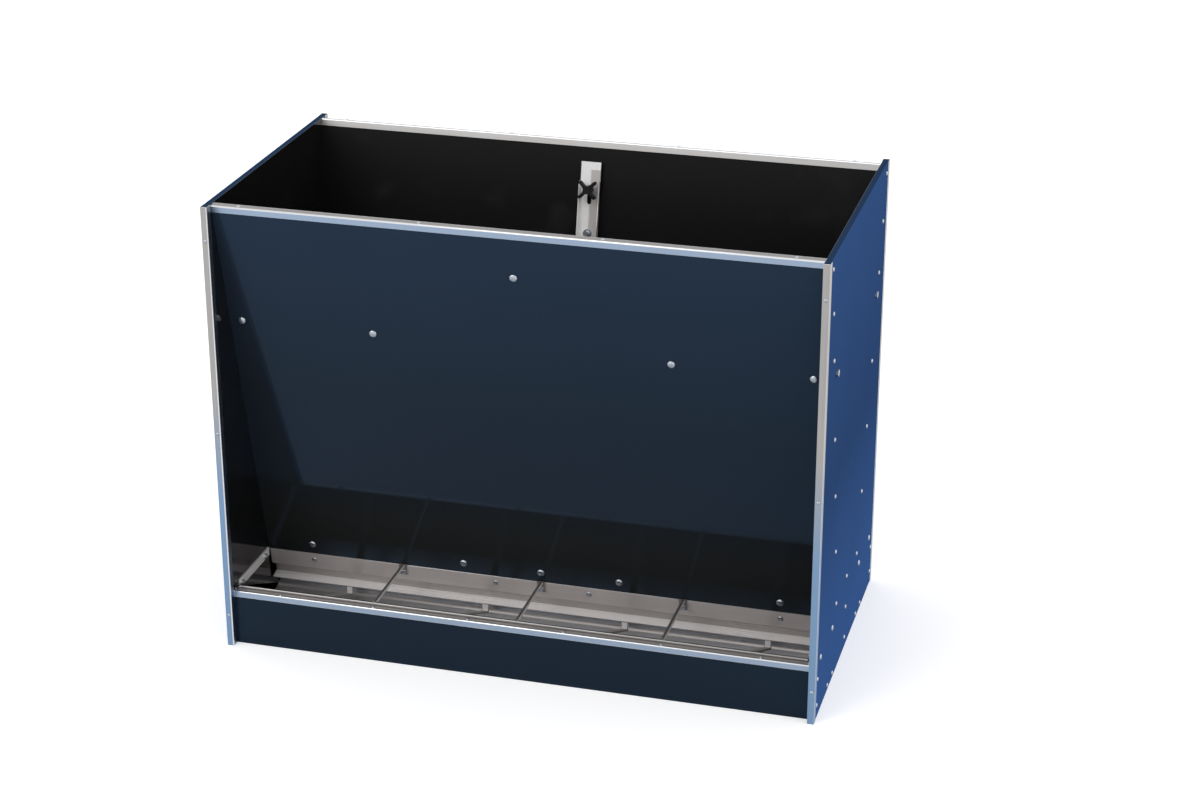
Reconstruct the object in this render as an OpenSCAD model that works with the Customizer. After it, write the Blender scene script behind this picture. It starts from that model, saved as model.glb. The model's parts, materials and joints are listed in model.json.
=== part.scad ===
// Double-sided pig feeder: a board hopper between two side panels.
// Each side has a steel trough, a sliding feed gate and a star knob that clamps the gate.
// Origin: centre of the footprint on the floor. X runs along the trough, -Y is the front, Z is up.
// The rear half is the front half turned half round.

/* [Hopper] */
// Width of one feeding place
place_w = 300; // [220:5:400]
// Feeding places on each side
places = 4; // [2:2:6]
// Depth of the side panels, front edge to rear edge
side_d = 646; // [600:2:760]
// Height of the side panels
side_h = 950; // [850:5:1100]
// Thickness of every board
board_t = 12; // [10:0.5:15]

/* [Sloped panel] */
// Lean of the panel from upright
panel_angle = 12.9; // [11:0.1:14]
// Top of the panel's outer face, behind the side panel's edge
panel_setback = 21; // [18:0.5:30]
// Top of the panel, below the side panel's top
panel_drop = 4; // [3.5:0.5:20]
// Height of the panel's lower edge, on its outer face
panel_foot_z = 88; // [84:1:100]
// Distance of the clamp stud from the panel's top, along the slope
clamp_down = 100; // [90:1:120]
// Distance of the stiffener's middle from the panel's top
stiffener_down = 262; // [240:1:400]
// Distance of the guide bolts from the panel's lower edge
guide_up = 62; // [56:1:75]
// Distance of the foot strip's screws from the panel's lower edge
foot_screw_up = 21; // [16:0.5:24]

/* [Trough] */
// Gap between the edge profile's leg and the trough's front flange
lip_gap = 0.5; // [0.3:0.1:8]
// Height of the kick plate
kick_h = 118; // [100:1:125]
// Sheet of the trough
pan_t = 1.5; // [1:0.1:2]
// Height of the folded front flange
lip_h = 13.5; // [10:0.5:20]
// Depth of the flat lip
lip_d = 19.5; // [18:0.5:24]
// Front end of the flat bottom, behind the side panel's edge
pan_front = 84; // [75:1:100]
// Rear end of the flat bottom, behind the side panel's edge
pan_rear = 245.5; // [240:0.5:255]
// Rise of the pan's rear slope
pan_slope = 55; // [50:1:60]
// Flange of the pan up the centre board, above the slope
pan_flange = 25; // [15:1:35]
// Radius of the pan's bends
pan_r = 18; // [8:1:22]
// Underside of the floor board
floor_z = 6; // [3:0.5:10]
// Depth of the floor board
floor_board_d = 132; // [110:1:135]
// Height of the centre board
centre_h = 190; // [180:1:230]

/* [Edge steel] */
// Sheet of the edge profiles
profile_t = 1; // [0.8:0.1:1.5]
// Leg of the edge profiles
profile_leg = 15; // [12:0.5:15.5]
// Sheet of the foot strip
foot_t = 1.5; // [1:0.1:2]
// Height of the foot strip's front leg
foot_leg = 38; // [34:1:44]

/* [Trough bars] */
// Rim rod on the trough's lip
rim_rod = 6; // [5:0.5:7]
// Turned-in leg of the rim rod
rim_leg = 14; // [10:0.5:15]
// Bend of the rim rod, to its middle
rim_bend = 8; // [7:0.5:12]
// Divider rod
divider_rod = 8; // [6:0.5:10]
// Width of the tab on a divider rod's rear end
divider_tab_w = 18; // [14:1:24]
// Thickness of that tab
divider_tab_t = 3; // [2:0.5:4]
// Tab left below its screw
divider_tab_end = 6; // [5:0.5:9]
// Height of the end bars
end_bar_h = 18; // [14:0.5:20]
// Thickness of the end bars
end_bar_t = 4; // [3:0.5:6]
// Gap from the trough's lip to the end bars
end_bar_gap = 7; // [6:0.5:12]
// Gap from the end bars to the sloped panel
end_bar_rear_gap = 9; // [6:0.5:15]
// Inset of the end bar's front bolt
end_bar_inset = 8; // [7:0.5:14]
// Inset of the end bar's rear bolt
end_bar_rear_inset = 25; // [10:1:40]
// Width of the gap straps
strap_w = 14; // [10:1:20]
// Thickness of the gap straps
strap_t = 4; // [3:0.5:5]
// Upright tip of the gap straps
strap_tip = 22; // [14:0.5:24]
// Offset of the straps from the middle of a place
strap_offset = 25; // [-40:1:40]

/* [Gate] */
// Sheet of the gate
gate_t = 1.5; // [1:0.1:2]
// Height of the gate plate along the slope
gate_h = 190; // [180:1:260]
// Part of the gate plate that shows below the panel at rest
gate_show = 31; // [30:0.5:34]
// Depth of the gate's bent lip
gate_lip = 25; // [24:0.5:34]
// Gap at each end of the gate
gate_end_gap = 2; // [1:0.5:5]
// Travel of the gate along the slope
gate_travel = 25; // [15:1:27]
// Gap between sliding faces
run_gap = 0.3; // [0.25:0.05:0.4]
// Width of the lift bar
bar_w = 30; // [24:1:36]
// Thickness of the lift bar
bar_t = 3; // [2.5:0.5:4]
// Gap from the lift bar's foot to the middle guide bush
bar_foot_gap = 16; // [10:1:20]
// Gap between the lift bar and the stiffener
bar_gap = 0.5; // [0.4:0.1:1]

/* [Adjusting strip] */
// Width of the strip's channel
strip_w = 44; // [42:0.5:52]
// Depth of the channel
strip_leg = 12; // [8:0.5:16]
// Sheet of the strip
strip_t = 1.5; // [1:0.1:2]
// Top of the strip, from the panel's top
strip_down = 43; // [38:1:60]
// Length of the flat tab above the channel
strip_tab = 40; // [25:1:42]
// Distance between the strip's two bolts
strip_bolt_pitch = 35; // [30:1:40]
// Strip left past its lower bolt
strip_end = 20; // [12:1:30]
// Lift bar left past the strip's upper bolt
bar_end = 27; // [12:1:30]
// Width of the strip's slot
slot_w = 9; // [8:0.1:10]
// Free slot past the clamp stud at each end
slot_margin = 2; // [1:0.5:4]

/* [Star knob] */
// Reach of the knob's arms across
knob_d = 50; // [44:0.5:54]
// Hub of the knob
knob_hub = 17; // [16:0.5:24]
// Width of an arm
knob_arm = 8; // [6:0.5:12]
// Thickness of the arms
knob_h = 13; // [10:0.5:18]
// Foot of the knob, on the clamp washer
knob_foot = 14.5; // [11:0.5:18]
// Gap between the knob's arms and the strip's channel
knob_gap = 4; // [1:0.1:6]
// Wall left above the knob's bore
knob_cap = 4; // [2:0.5:6]

/* [Stiffener] */
// Height of the stiffener bar
stiffener_h = 45; // [30:1:60]
// Thickness of the stiffener bar
stiffener_t = 4; // [3:0.5:5]
// Length of its bent end tabs
stiffener_tab = 32; // [28:1:40]
// Place of the end bolt, from the panel's inner face
end_bolt_w = 16; // [14:0.5:19]

/* [Fasteners] */
// Shank of the carriage bolts and clamp studs
bolt_d = 6; // [5:0.5:6.5]
// Head of the carriage bolts
bolt_head_d = 16.5; // [14:0.5:20]
// Height of the carriage bolts' heads
bolt_head_h = 3.8; // [3:0.1:4]
// Nut across flats
nut_af = 10; // [9:0.5:11]
// Height of a nut
nut_h = 5; // [4:0.5:6]
// Bolt end that stands past its nut
bolt_proud = 1.5; // [1:0.25:2.5]
// Washer of the clamp and of the collar nuts
washer_d = 18; // [16:0.5:20]
// Thickness of a washer
washer_t = 1.6; // [1.2:0.1:2]
// Guide bush outside
bush_d = 12; // [10:0.5:14]
// Flange of the guide bush
bush_flange_d = 24; // [20:0.5:26]
// Thickness of the guide bush's flange
bush_flange_t = 2; // [1.5:0.1:2.5]
// Shank of the hex end bolts
end_bolt_d = 8; // [6:0.5:10]
// End bolt and its nut across flats
end_bolt_af = 13; // [12:0.5:16]
// Height of the end bolt's head
end_bolt_head_h = 5.3; // [4:0.1:7]
// Shank of the board screws
screw_d = 4; // [3.5:0.1:5]
// Length of the board screws
screw_l = 45; // [35:1:60]
// Head of the board screws
screw_head_d = 9; // [8:0.5:11]
// Height of the board screws' heads
screw_head_h = 2.4; // [1.8:0.1:3]
// Head of the end bars' bolts
end_bar_head_d = 12; // [10:0.5:15]
// Shank of the sheet screws
tack_d = 3.5; // [3:0.1:4]
// Length of the sheet screws
tack_l = 11; // [8:0.5:11.5]
// Head of the sheet screws
tack_head_d = 7.5; // [6:0.5:8.5]
// Head of the foot strips' screws
foot_head_d = 11.5; // [9:0.5:12]
// Height of the sheet screws' heads
tack_head_h = 2; // [1.5:0.1:2.5]
// Radial clearance of a bolt in its hole
hole_gap = 0.2; // [0.1:0.05:0.5]
// Radial clearance of a thread, a nut or a knob on its stud
thread_gap = 0.05; // [0.02:0.01:0.1]
// Gap left at a weld
weld_gap = 0.05; // [0.02:0.01:0.2]

/* [Hidden] */
$fn = 48;

film_blue = "#22344f";
steel = "#b4b2b0";
zinc = "#c9c8c4";
black = "#1d1d1f";

// Places along X
inner_w = place_w * places;
wall_x = inner_w / 2;
side_x = wall_x + board_t;
divider_xs = [for (i = [1 : places - 1]) i * place_w - wall_x];
strap_xs = [for (i = [0 : places - 1]) (i + 0.5) * place_w - wall_x + strap_offset];
sheet_screw_pitch = 200;
sheet_screw_n = floor((inner_w - sheet_screw_pitch / 2) / sheet_screw_pitch);
lip_screw_xs = [for (i = [0 : sheet_screw_n]) (i - sheet_screw_n / 2) * sheet_screw_pitch];
plain_foot_xs = [for (x = lip_screw_xs) if (min([for (d = divider_xs) abs(x - d)]) > divider_tab_w) x];
foot_screw_xs = concat(plain_foot_xs, divider_xs);
guide_inset = 100;
guide_near = 166.5;
guide_xs = [-wall_x + guide_inset, -guide_near, 0, guide_near, wall_x - guide_inset];
stiffener_inset = 25;
stiffener_xs = [-wall_x + stiffener_inset, -wall_x / 2, wall_x / 2, wall_x - stiffener_inset];
top_screw_inset = 55;
top_screw_near = 180;
top_screw_xs = [-wall_x + top_screw_inset, -top_screw_near, top_screw_near, wall_x - top_screw_inset];

// Front edge of the side panels, and the sloped panel's frame
front_y = -side_d / 2;
panel_y = front_y + panel_setback;
panel_z = side_h - panel_drop;
panel_l = (panel_z - panel_foot_z) / cos(panel_angle);
guide_down = panel_l - guide_up;
foot_screw_down = panel_l - foot_screw_up;
panel_screw_tops = [18, 115, 220];
panel_screw_ups = [478, 342, 205, 73];
panel_screw_downs = concat(panel_screw_tops, [for (up = panel_screw_ups) panel_l - up]);
edge_screw_inset = 70;
edge_screw_zs = [edge_screw_inset, side_h / 2, side_h - edge_screw_inset];

// Trough section: y along the depth, z up, on the sheet's upper face
kick_setback = profile_leg + lip_gap + pan_t;
lip_front_y = front_y + kick_setback - pan_t;
lip_z = kick_h + pan_t;
lip_rear_y = lip_front_y + lip_d;
pan_z = floor_z + board_t + pan_t;
centre_y = -board_t / 2;
pan_top_y = centre_y - pan_t;
pan_top_z = pan_z + (pan_top_y - front_y - pan_rear) * tan(pan_slope);
pan_points = [
    [lip_front_y, lip_z - lip_h], [lip_front_y, lip_z], [lip_rear_y, lip_z], [front_y + pan_front, pan_z],
    [front_y + pan_rear, pan_z], [pan_top_y, pan_top_z], [pan_top_y, pan_top_z + pan_flange]
];
pan_path = concat(
    [pan_points[0], pan_points[1], pan_points[2]],
    bend(pan_points[2], pan_points[3], pan_points[4], pan_r),
    bend(pan_points[3], pan_points[4], pan_points[5], pan_r),
    [pan_points[5], pan_points[6]]
);
floor_board_y = front_y + (pan_front + pan_rear) / 2 - floor_board_d / 2;
floor_screw_inset = 40;
kick_screw_inset = 30;
kick_screw_zs = [kick_screw_inset, kick_h - kick_screw_inset];
centre_screw_inset = 25;
centre_screw_zs = [centre_screw_inset, centre_h / 2, centre_h - centre_screw_inset];

// Rim rod, dividers and end bars, all above the lip
rim_y = lip_rear_y - rim_rod / 2 - weld_gap;
rim_z = lip_z + weld_gap + rim_rod / 2;
divider_z = lip_z + weld_gap + divider_rod / 2;
lip_screw_y = lip_front_y + (lip_d - rim_rod) / 2;
divider_down = (panel_z - divider_z) / cos(panel_angle);
end_bar_z = rim_z - end_bar_h / 2;
end_bar_y = lip_rear_y + end_bar_gap;
end_bar_top_down = (panel_z - end_bar_z - end_bar_h) / cos(panel_angle);
end_bar_l = panel_place(0, end_bar_top_down).x - end_bar_rear_gap - end_bar_y;
end_bar_bolt_ys = [end_bar_y + end_bar_inset, end_bar_y + end_bar_l - end_bar_rear_inset];

// Gate layers, measured inwards from the panel's inner face
gate_w = run_gap;
bar_low_w = gate_w + gate_t;
bar_high_w = stiffener_t + bar_gap;
strip_web_w = bar_high_w + bar_t;
clamp_washer_w = strip_web_w + strip_t + run_gap;
knob_w = clamp_washer_w + washer_t;
knob_neck = strip_web_w + strip_leg + knob_gap - knob_w;
knob_bore = knob_neck + knob_h - knob_cap;
stud_free = 2.5;
bush_l = gate_t + 2 * run_gap;
slot_gap = 0.35;

// Gate heights, measured down the slope from the panel's top edge
gate_foot_down = panel_l + gate_show;
gate_top_down = gate_foot_down - gate_h;
bar_foot_down = guide_down - bush_flange_d / 2 - bar_foot_gap;
bar_lap = bar_foot_down - gate_top_down;
bar_joggle = 15;
gate_stud_downs = [gate_top_down + bar_lap / 4, bar_foot_down - bar_lap / 4];
strip_bolt_gap = 4;
strip_low_bolt = stiffener_down - stiffener_h / 2 - bolt_head_d / 2 - strip_bolt_gap;
strip_bolt_downs = [strip_low_bolt - strip_bolt_pitch, strip_low_bolt];
strip_end_down = strip_low_bolt + strip_end;
strip_l = strip_end_down - strip_down;
bar_down = strip_bolt_downs[0] - bar_end;

// Place of the gate lip's front lower edge, where the straps' tips stand below it
gate_lip_y = panel_place(board_t + bar_low_w - gate_lip, gate_foot_down + gate_t).x;
strap_tip_inset = 1;
strap_tip_y = gate_lip_y + strap_tip_inset;
strap_tip_top = panel_place(board_t + bar_low_w - gate_lip, gate_foot_down + gate_t).y - run_gap;
strap_foot_z = strap_tip_top - strap_tip;

// Point of the sloped panel as [y, z]: w inwards from the outer face, down along the slope
function panel_place(w, down) = [
    panel_y + w * cos(panel_angle) + down * sin(panel_angle),
    panel_z + w * sin(panel_angle) - down * cos(panel_angle)
];

// Helpers for bent sheets
function unit(v) = v / norm(v);
function left_of(v) = [-v.y, v.x];
function turned(v, a) = [v.x * cos(a) - v.y * sin(a), v.x * sin(a) + v.y * cos(a)];

// Arc that rounds the corner b between a and c
function bend(a, b, c, r, n = 8) =
    let (
        u = unit(b - a),
        v = unit(c - b),
        s = sign(cross(u, v)),
        phi = acos(u * v),
        middle = b - u * r * tan(phi / 2) + s * left_of(u) * r
    )
    [for (i = [0 : n]) middle - s * r * turned(left_of(u), s * phi * i / n)];

// Shift of a path's point by t to its left, mitred between its two stretches
function sheet_shift(p, i, t) =
    let (
        n = len(p) - 1,
        a = left_of(unit(i > 0 ? p[i] - p[i - 1] : p[1] - p[0])),
        b = left_of(unit(i < n ? p[i + 1] - p[i] : p[n] - p[n - 1]))
    )
    (a + b) * t / (1 + a * b);

// Closed outline of a sheet of thickness t to the left of a path
function sheet_outline(p, t) = concat(p, [for (i = [len(p) - 1 : -1 : 0]) p[i] + sheet_shift(p, i, t)]);

// Frames and shared shapes
module rear() {
    rotate([0, 0, 180]) children();
}

module both_sides() {
    children();
    rear() children();
}

// The sloped panel's frame: x across, y inwards from its outer face, z up the slope from its top edge
module panel_frame() {
    translate([0, panel_y, panel_z]) rotate([panel_angle, 0, 0]) children();
}

// A place on the panel's inner face, with +Z inwards
module at_panel(x, down, w = 0) {
    panel_frame() translate([x, board_t + w, -down]) rotate([-90, 0, 0]) children();
}

// Extrudes a y-z outline along X, centred
module along_x(l) {
    rotate([90, 0, 90]) translate([0, 0, -l / 2]) linear_extrude(l) children();
}

// A plain bore along Z from z0 to z1, overrun a little at both ends
module bore(d, z0, z1) {
    overrun = 0.5;
    translate([0, 0, z0 - overrun]) cylinder(d = d, h = z1 - z0 + 2 * overrun);
}

// Low domed head that stands on z = 0, its profile given as shares of its radius and height
dome_profile = [[0, 0], [1, 0], [1, 0.3], [0.84, 0.65], [0.54, 0.9], [0, 1]];
module dome_head(d, h) {
    rotate_extrude() polygon([for (p = dome_profile) [p.x * d / 2, p.y * h]]);
}

module screw(d, l, head_d, head_h) {
    dome_head(head_d, head_h);
    translate([0, 0, -l]) cylinder(d = d, h = l + head_h / 4);
}

// Bolt with its domed head below z = 0 and its shank above
module carriage_bolt(l) {
    mirror([0, 0, 1]) dome_head(bolt_head_d, bolt_head_h);
    translate([0, 0, -bolt_head_h / 4]) cylinder(d = bolt_d, h = l + bolt_head_h / 4);
}

module nut(d, af, h) {
    difference() {
        cylinder(d = af / cos(30), h = h, $fn = 6);
        bore(d + 2 * thread_gap, 0, h);
    }
}

module collar_nut(h) {
    difference() {
        union() {
            cylinder(d = washer_d, h = washer_t);
            cylinder(d = nut_af / cos(30), h = h, $fn = 6);
        }
        bore(bolt_d + 2 * thread_gap, 0, h);
    }
}

// Slot through a sheet on z = 0, along Y from y0 to y1 between the middles of its round ends
module slot_cut(w, y0, y1, t) {
    overrun = 0.5;
    translate([-w / 2, y0, -overrun]) cube([w, y1 - y0, t + 2 * overrun]);
    translate([0, y0, 0]) bore(w, 0, t);
    translate([0, y1, 0]) bore(w, 0, t);
}

// Places of the screws that hold the boards between the side panels, as [y, z], on the front half
panel_edge_places = [for (down = panel_screw_downs) panel_place(board_t / 2, down)];
kick_edge_places = [for (z = kick_screw_zs) [front_y + kick_setback + board_t / 2, z]];
floor_edge_places = [
    for (y = [floor_board_y + floor_screw_inset, floor_board_y + floor_board_d - floor_screw_inset])
        [y, floor_z + board_t / 2]
];
centre_edge_places = [for (z = centre_screw_zs) [0, z]];
half_edge_places = concat(panel_edge_places, kick_edge_places, floor_edge_places);

// Children at each place on both side panels' outer faces, with +Z outwards
module on_side_panels(places_yz) {
    for (p = places_yz)
        for (s = [-1, 1])
            translate([s * side_x, p.x, p.y]) rotate([0, s * 90, 0]) children();
}

module edge_bores(places_yz) {
    on_side_panels(places_yz) bore(screw_d + 2 * hole_gap, -screw_l, 0);
}

module end_bar_places() {
    on_side_panels([for (y = end_bar_bolt_ys) [y, rim_z]]) children();
}

module end_bolt_places() {
    on_side_panels([panel_place(board_t + end_bolt_w, stiffener_down)]) children();
}

module edge_profile_screw_places() {
    for (s = [-1, 1])
        for (z = edge_screw_zs)
            translate([s * (wall_x + board_t / 2), front_y - profile_t, z]) rotate([90, 0, 0]) children();
}

module top_profile_screw_places() {
    for (x = top_screw_xs) panel_frame() translate([x, board_t / 2, profile_t]) children();
}

module lip_screw_places() {
    for (x = lip_screw_xs) translate([x, lip_screw_y, lip_z]) children();
}

module foot_screw_places() {
    for (x = foot_screw_xs)
        panel_frame() translate([x, -foot_t - foot_screw_lift(x), -foot_screw_down])
            rotate([90, 0, 0]) children();
}

// Screws at the divider rods stand on the rods' tabs
function foot_screw_lift(x) = len([for (d = divider_xs) if (d == x) d]) > 0 ? divider_tab_t : 0;

module bolt_row(xs, down) {
    for (x = xs) at_panel(x, down) children();
}

// Boards
module side_board() {
    difference() {
        translate([wall_x, front_y, 0]) cube([board_t, side_d, side_h]);
        both_sides() {
            edge_bores(half_edge_places);
            end_bar_places() bore(bolt_d + 2 * hole_gap, -board_t, 0);
            end_bolt_places() bore(end_bolt_d + 2 * hole_gap, -board_t, 0);
            edge_profile_screw_places() bore(tack_d + 2 * hole_gap, -tack_l, 0);
        }
        edge_bores(centre_edge_places);
    }
}

module left_side_panel() {
    color(film_blue) rear() side_board();
}

module right_side_panel() {
    color(film_blue) side_board();
}

module panel_board() {
    bolt_hole = bolt_d + 2 * hole_gap;
    difference() {
        panel_frame() translate([-wall_x, 0, -panel_l]) cube([inner_w, board_t, panel_l]);
        edge_bores(panel_edge_places);
        bolt_row([0], clamp_down) bore(bolt_hole, -board_t, 0);
        bolt_row(stiffener_xs, stiffener_down) bore(bolt_hole, -board_t, 0);
        bolt_row(guide_xs, guide_down) bore(bolt_hole, -board_t, 0);
        top_profile_screw_places() bore(tack_d + 2 * hole_gap, -tack_l, 0);
        foot_screw_places() bore(tack_d + 2 * hole_gap, -tack_l, 0);
    }
}

module front_panel() {
    color(film_blue) panel_board();
}

module rear_panel() {
    color(film_blue) rear() panel_board();
}

module kick_board() {
    difference() {
        translate([-wall_x, front_y + kick_setback, 0]) cube([inner_w, board_t, kick_h]);
        edge_bores(kick_edge_places);
        lip_screw_places() bore(tack_d + 2 * hole_gap, -tack_l - pan_t, 0);
    }
}

module front_kick_plate() {
    color(film_blue) kick_board();
}

module rear_kick_plate() {
    color(film_blue) rear() kick_board();
}

module floor_board() {
    difference() {
        translate([-wall_x, floor_board_y, floor_z]) cube([inner_w, floor_board_d, board_t]);
        edge_bores(floor_edge_places);
    }
}

module front_floor_board() {
    color(film_blue) floor_board();
}

module rear_floor_board() {
    color(film_blue) rear() floor_board();
}

module centre_board() {
    color(film_blue) difference() {
        translate([-wall_x, centre_y, 0]) cube([inner_w, board_t, centre_h]);
        edge_bores(centre_edge_places);
    }
}

// Edge steel
module edge_profile() {
    x0 = wall_x - profile_t;
    x1 = side_x + profile_t;
    y0 = front_y - profile_t;
    y1 = front_y + profile_leg;
    path = [[x0, y1], [x0, y0], [x1, y0], [x1, y1]];
    difference() {
        linear_extrude(side_h) polygon(sheet_outline(path, profile_t));
        edge_profile_screw_places() bore(tack_d + 2 * hole_gap, -profile_t, 0);
    }
}

module front_left_edge_profile() {
    color(steel) rear() mirror([0, 1, 0]) edge_profile();
}

module front_right_edge_profile() {
    color(steel) edge_profile();
}

module rear_left_edge_profile() {
    color(steel) rear() edge_profile();
}

module rear_right_edge_profile() {
    color(steel) mirror([0, 1, 0]) edge_profile();
}

module top_profile() {
    path = [
        [-profile_t, profile_t - profile_leg], [-profile_t, profile_t],
        [board_t + profile_t, profile_t], [board_t + profile_t, profile_t - profile_leg]
    ];
    difference() {
        panel_frame() along_x(inner_w) polygon(sheet_outline(path, -profile_t));
        top_profile_screw_places() bore(tack_d + 2 * hole_gap, -profile_t, 0);
    }
}

module front_top_profile() {
    color(steel) top_profile();
}

module rear_top_profile() {
    color(steel) rear() top_profile();
}

module foot_strip() {
    path = [[-foot_t, foot_leg - panel_l], [-foot_t, -panel_l - foot_t], [board_t, -panel_l - foot_t]];
    difference() {
        panel_frame() along_x(inner_w) polygon(sheet_outline(path, foot_t));
        foot_screw_places() bore(tack_d + 2 * hole_gap, -tack_l, 0);
    }
}

module front_foot_strip() {
    color(steel) foot_strip();
}

module rear_foot_strip() {
    color(steel) rear() foot_strip();
}

// Trough and its bars
module trough() {
    difference() {
        along_x(inner_w) polygon(sheet_outline(pan_path, -pan_t));
        lip_screw_places() bore(tack_d + 2 * hole_gap, -pan_t, 0);
    }
}

module front_trough() {
    color(steel) trough();
}

module rear_trough() {
    color(steel) rear() trough();
}

// Rim rod with its ends turned forwards along the side panels
module rim_rod_bar() {
    bend_x = wall_x - profile_t - weld_gap - rim_rod / 2 - rim_bend;
    translate([0, rim_y, rim_z]) {
        rotate([0, 90, 0]) cylinder(d = rim_rod, h = 2 * bend_x, center = true);
        for (s = [0, 1]) mirror([s, 0, 0]) translate([bend_x, -rim_bend, 0]) {
            rotate_extrude(angle = 90) translate([rim_bend, 0]) circle(d = rim_rod);
            translate([rim_bend, 0, 0]) rotate([90, 0, 0]) cylinder(d = rim_rod, h = rim_leg - rim_bend);
        }
    }
}

module front_rim_rod() {
    color(steel) rim_rod_bar();
}

module rear_rim_rod() {
    color(steel) rear() rim_rod_bar();
}

// Divider rods from the rim rod to tabs on the foot strip
module divider_rods() {
    rod_l = panel_place(0, panel_l).x - rim_y;
    tab_z = -foot_screw_down - divider_tab_end;
    tab_h = divider_rod / 2 - divider_down - tab_z;
    for (x = divider_xs) {
        difference() {
            translate([x, rim_y, divider_z]) rotate([-90, 0, 0]) cylinder(d = divider_rod, h = rod_l);
            translate([x, rim_y, rim_z]) rotate([0, 90, 0])
                cylinder(d = rim_rod + 2 * weld_gap, h = 2 * divider_rod, center = true);
            panel_frame() translate([x - divider_rod, -foot_t - divider_tab_t / 2, -panel_l])
                cube([2 * divider_rod, board_t + foot_t, 2 * foot_leg]);
        }
        difference() {
            panel_frame() translate([x - divider_tab_w / 2, -foot_t - divider_tab_t, tab_z])
                cube([divider_tab_w, divider_tab_t, tab_h]);
            foot_screw_places() bore(tack_d + 2 * hole_gap, -tack_l, 0);
        }
    }
}

module front_divider_rods() {
    color(steel) divider_rods();
}

module rear_divider_rods() {
    color(steel) rear() divider_rods();
}

module end_bars() {
    for (s = [-1, 1])
        difference() {
            translate([s * (wall_x - end_bar_t / 2) - end_bar_t / 2, end_bar_y, end_bar_z])
                cube([end_bar_t, end_bar_l, end_bar_h]);
            end_bar_places() bore(bolt_d + 2 * hole_gap, -board_t - end_bar_t, 0);
        }
}

module front_end_bars() {
    color(steel) end_bars();
}

module rear_end_bars() {
    color(steel) rear() end_bars();
}

// Gap straps: from under the rim, down to below the gate's lip, with an upright tip that the lip rests on
module gap_straps() {
    wall_dir = unit(pan_points[3] - pan_points[2]);
    start = pan_points[2] + wall_dir * strap_t;
    low = [strap_tip_y + strap_t, strap_foot_z];
    path = [start, low, [strap_tip_y + strap_t, strap_tip_top]];
    for (x = strap_xs)
        translate([x, 0, 0]) difference() {
            along_x(strap_w) polygon(sheet_outline(path, strap_t));
            along_x(2 * strap_w) polygon([
                pan_points[2] + [weld_gap, 0] - wall_dir * strap_w, pan_points[3] + [weld_gap, 0],
                [lip_front_y, pan_z], [lip_front_y, lip_z + strap_w]
            ]);
        }
}

module front_gap_straps() {
    color(steel) gap_straps();
}

module rear_gap_straps() {
    color(steel) rear() gap_straps();
}

// Stiffener bar across the panel's inner face, with its ends bent inwards
module stiffener_bar() {
    path = [[-wall_x, stiffener_tab], [-wall_x, 0], [wall_x, 0], [wall_x, stiffener_tab]];
    difference() {
        panel_frame() translate([0, board_t, -stiffener_down - stiffener_h / 2])
            linear_extrude(stiffener_h) polygon(sheet_outline(path, stiffener_t));
        bolt_row(stiffener_xs, stiffener_down) bore(bolt_d + 2 * hole_gap, 0, stiffener_t);
        end_bolt_places() bore(end_bolt_d + 2 * hole_gap, -board_t - stiffener_t, 0);
    }
}

module front_stiffener() {
    color(steel) stiffener_bar();
}

module rear_stiffener() {
    color(steel) rear() stiffener_bar();
}

// Fixed fasteners
module clamp_stud() {
    tip = knob_w + knob_bore - stud_free;
    at_panel(0, clamp_down, -board_t) carriage_bolt(board_t + tip);
}

module front_clamp_stud() {
    color(zinc) clamp_stud();
}

module rear_clamp_stud() {
    color(zinc) rear() clamp_stud();
}

module clamp_collar_nuts() {
    color(zinc) both_sides() at_panel(0, clamp_down) collar_nut(strip_web_w - run_gap);
}

module guide_bolts() {
    l = board_t + bush_l + bush_flange_t + nut_h + bolt_proud;
    color(zinc) both_sides() for (x = guide_xs) at_panel(x, guide_down, -board_t) carriage_bolt(l);
}

module guide_bushes() {
    color(zinc) both_sides() bolt_row(guide_xs, guide_down) difference() {
        union() {
            cylinder(d = bush_d, h = bush_l + bush_flange_t);
            translate([0, 0, bush_l]) cylinder(d = bush_flange_d, h = bush_flange_t);
        }
        bore(bolt_d + 2 * thread_gap, 0, bush_l + bush_flange_t);
    }
}

module guide_nuts() {
    color(zinc) both_sides() for (x = guide_xs)
        at_panel(x, guide_down, bush_l + bush_flange_t) nut(bolt_d, nut_af, nut_h);
}

module stiffener_bolts() {
    l = board_t + stiffener_t + nut_h + bolt_proud;
    color(zinc) both_sides() for (x = stiffener_xs) at_panel(x, stiffener_down, -board_t) carriage_bolt(l);
}

module stiffener_end_bolts() {
    l = board_t + stiffener_t + end_bolt_head_h + bolt_proud;
    color(zinc) both_sides() end_bolt_places() {
        cylinder(d = end_bolt_af / cos(30), h = end_bolt_head_h, $fn = 6);
        translate([0, 0, -l]) cylinder(d = end_bolt_d, h = l + end_bolt_head_h / 2);
    }
}

module stiffener_nuts() {
    color(zinc) both_sides() {
        for (x = stiffener_xs) at_panel(x, stiffener_down, stiffener_t) nut(bolt_d, nut_af, nut_h);
        end_bolt_places() translate([0, 0, -board_t - stiffener_t - end_bolt_head_h])
            nut(end_bolt_d, end_bolt_af, end_bolt_head_h);
    }
}

module side_panel_screws() {
    color(zinc) {
        both_sides() on_side_panels(half_edge_places) screw(screw_d, screw_l, screw_head_d, screw_head_h);
        on_side_panels(centre_edge_places) screw(screw_d, screw_l, screw_head_d, screw_head_h);
    }
}

module end_bar_bolts() {
    l = board_t + end_bar_t + nut_h + bolt_proud;
    color(zinc) both_sides() end_bar_places() screw(bolt_d, l, end_bar_head_d, screw_head_h);
}

module end_bar_nuts() {
    color(zinc) both_sides() end_bar_places()
        translate([0, 0, -board_t - end_bar_t - nut_h]) nut(bolt_d, nut_af, nut_h);
}

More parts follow.
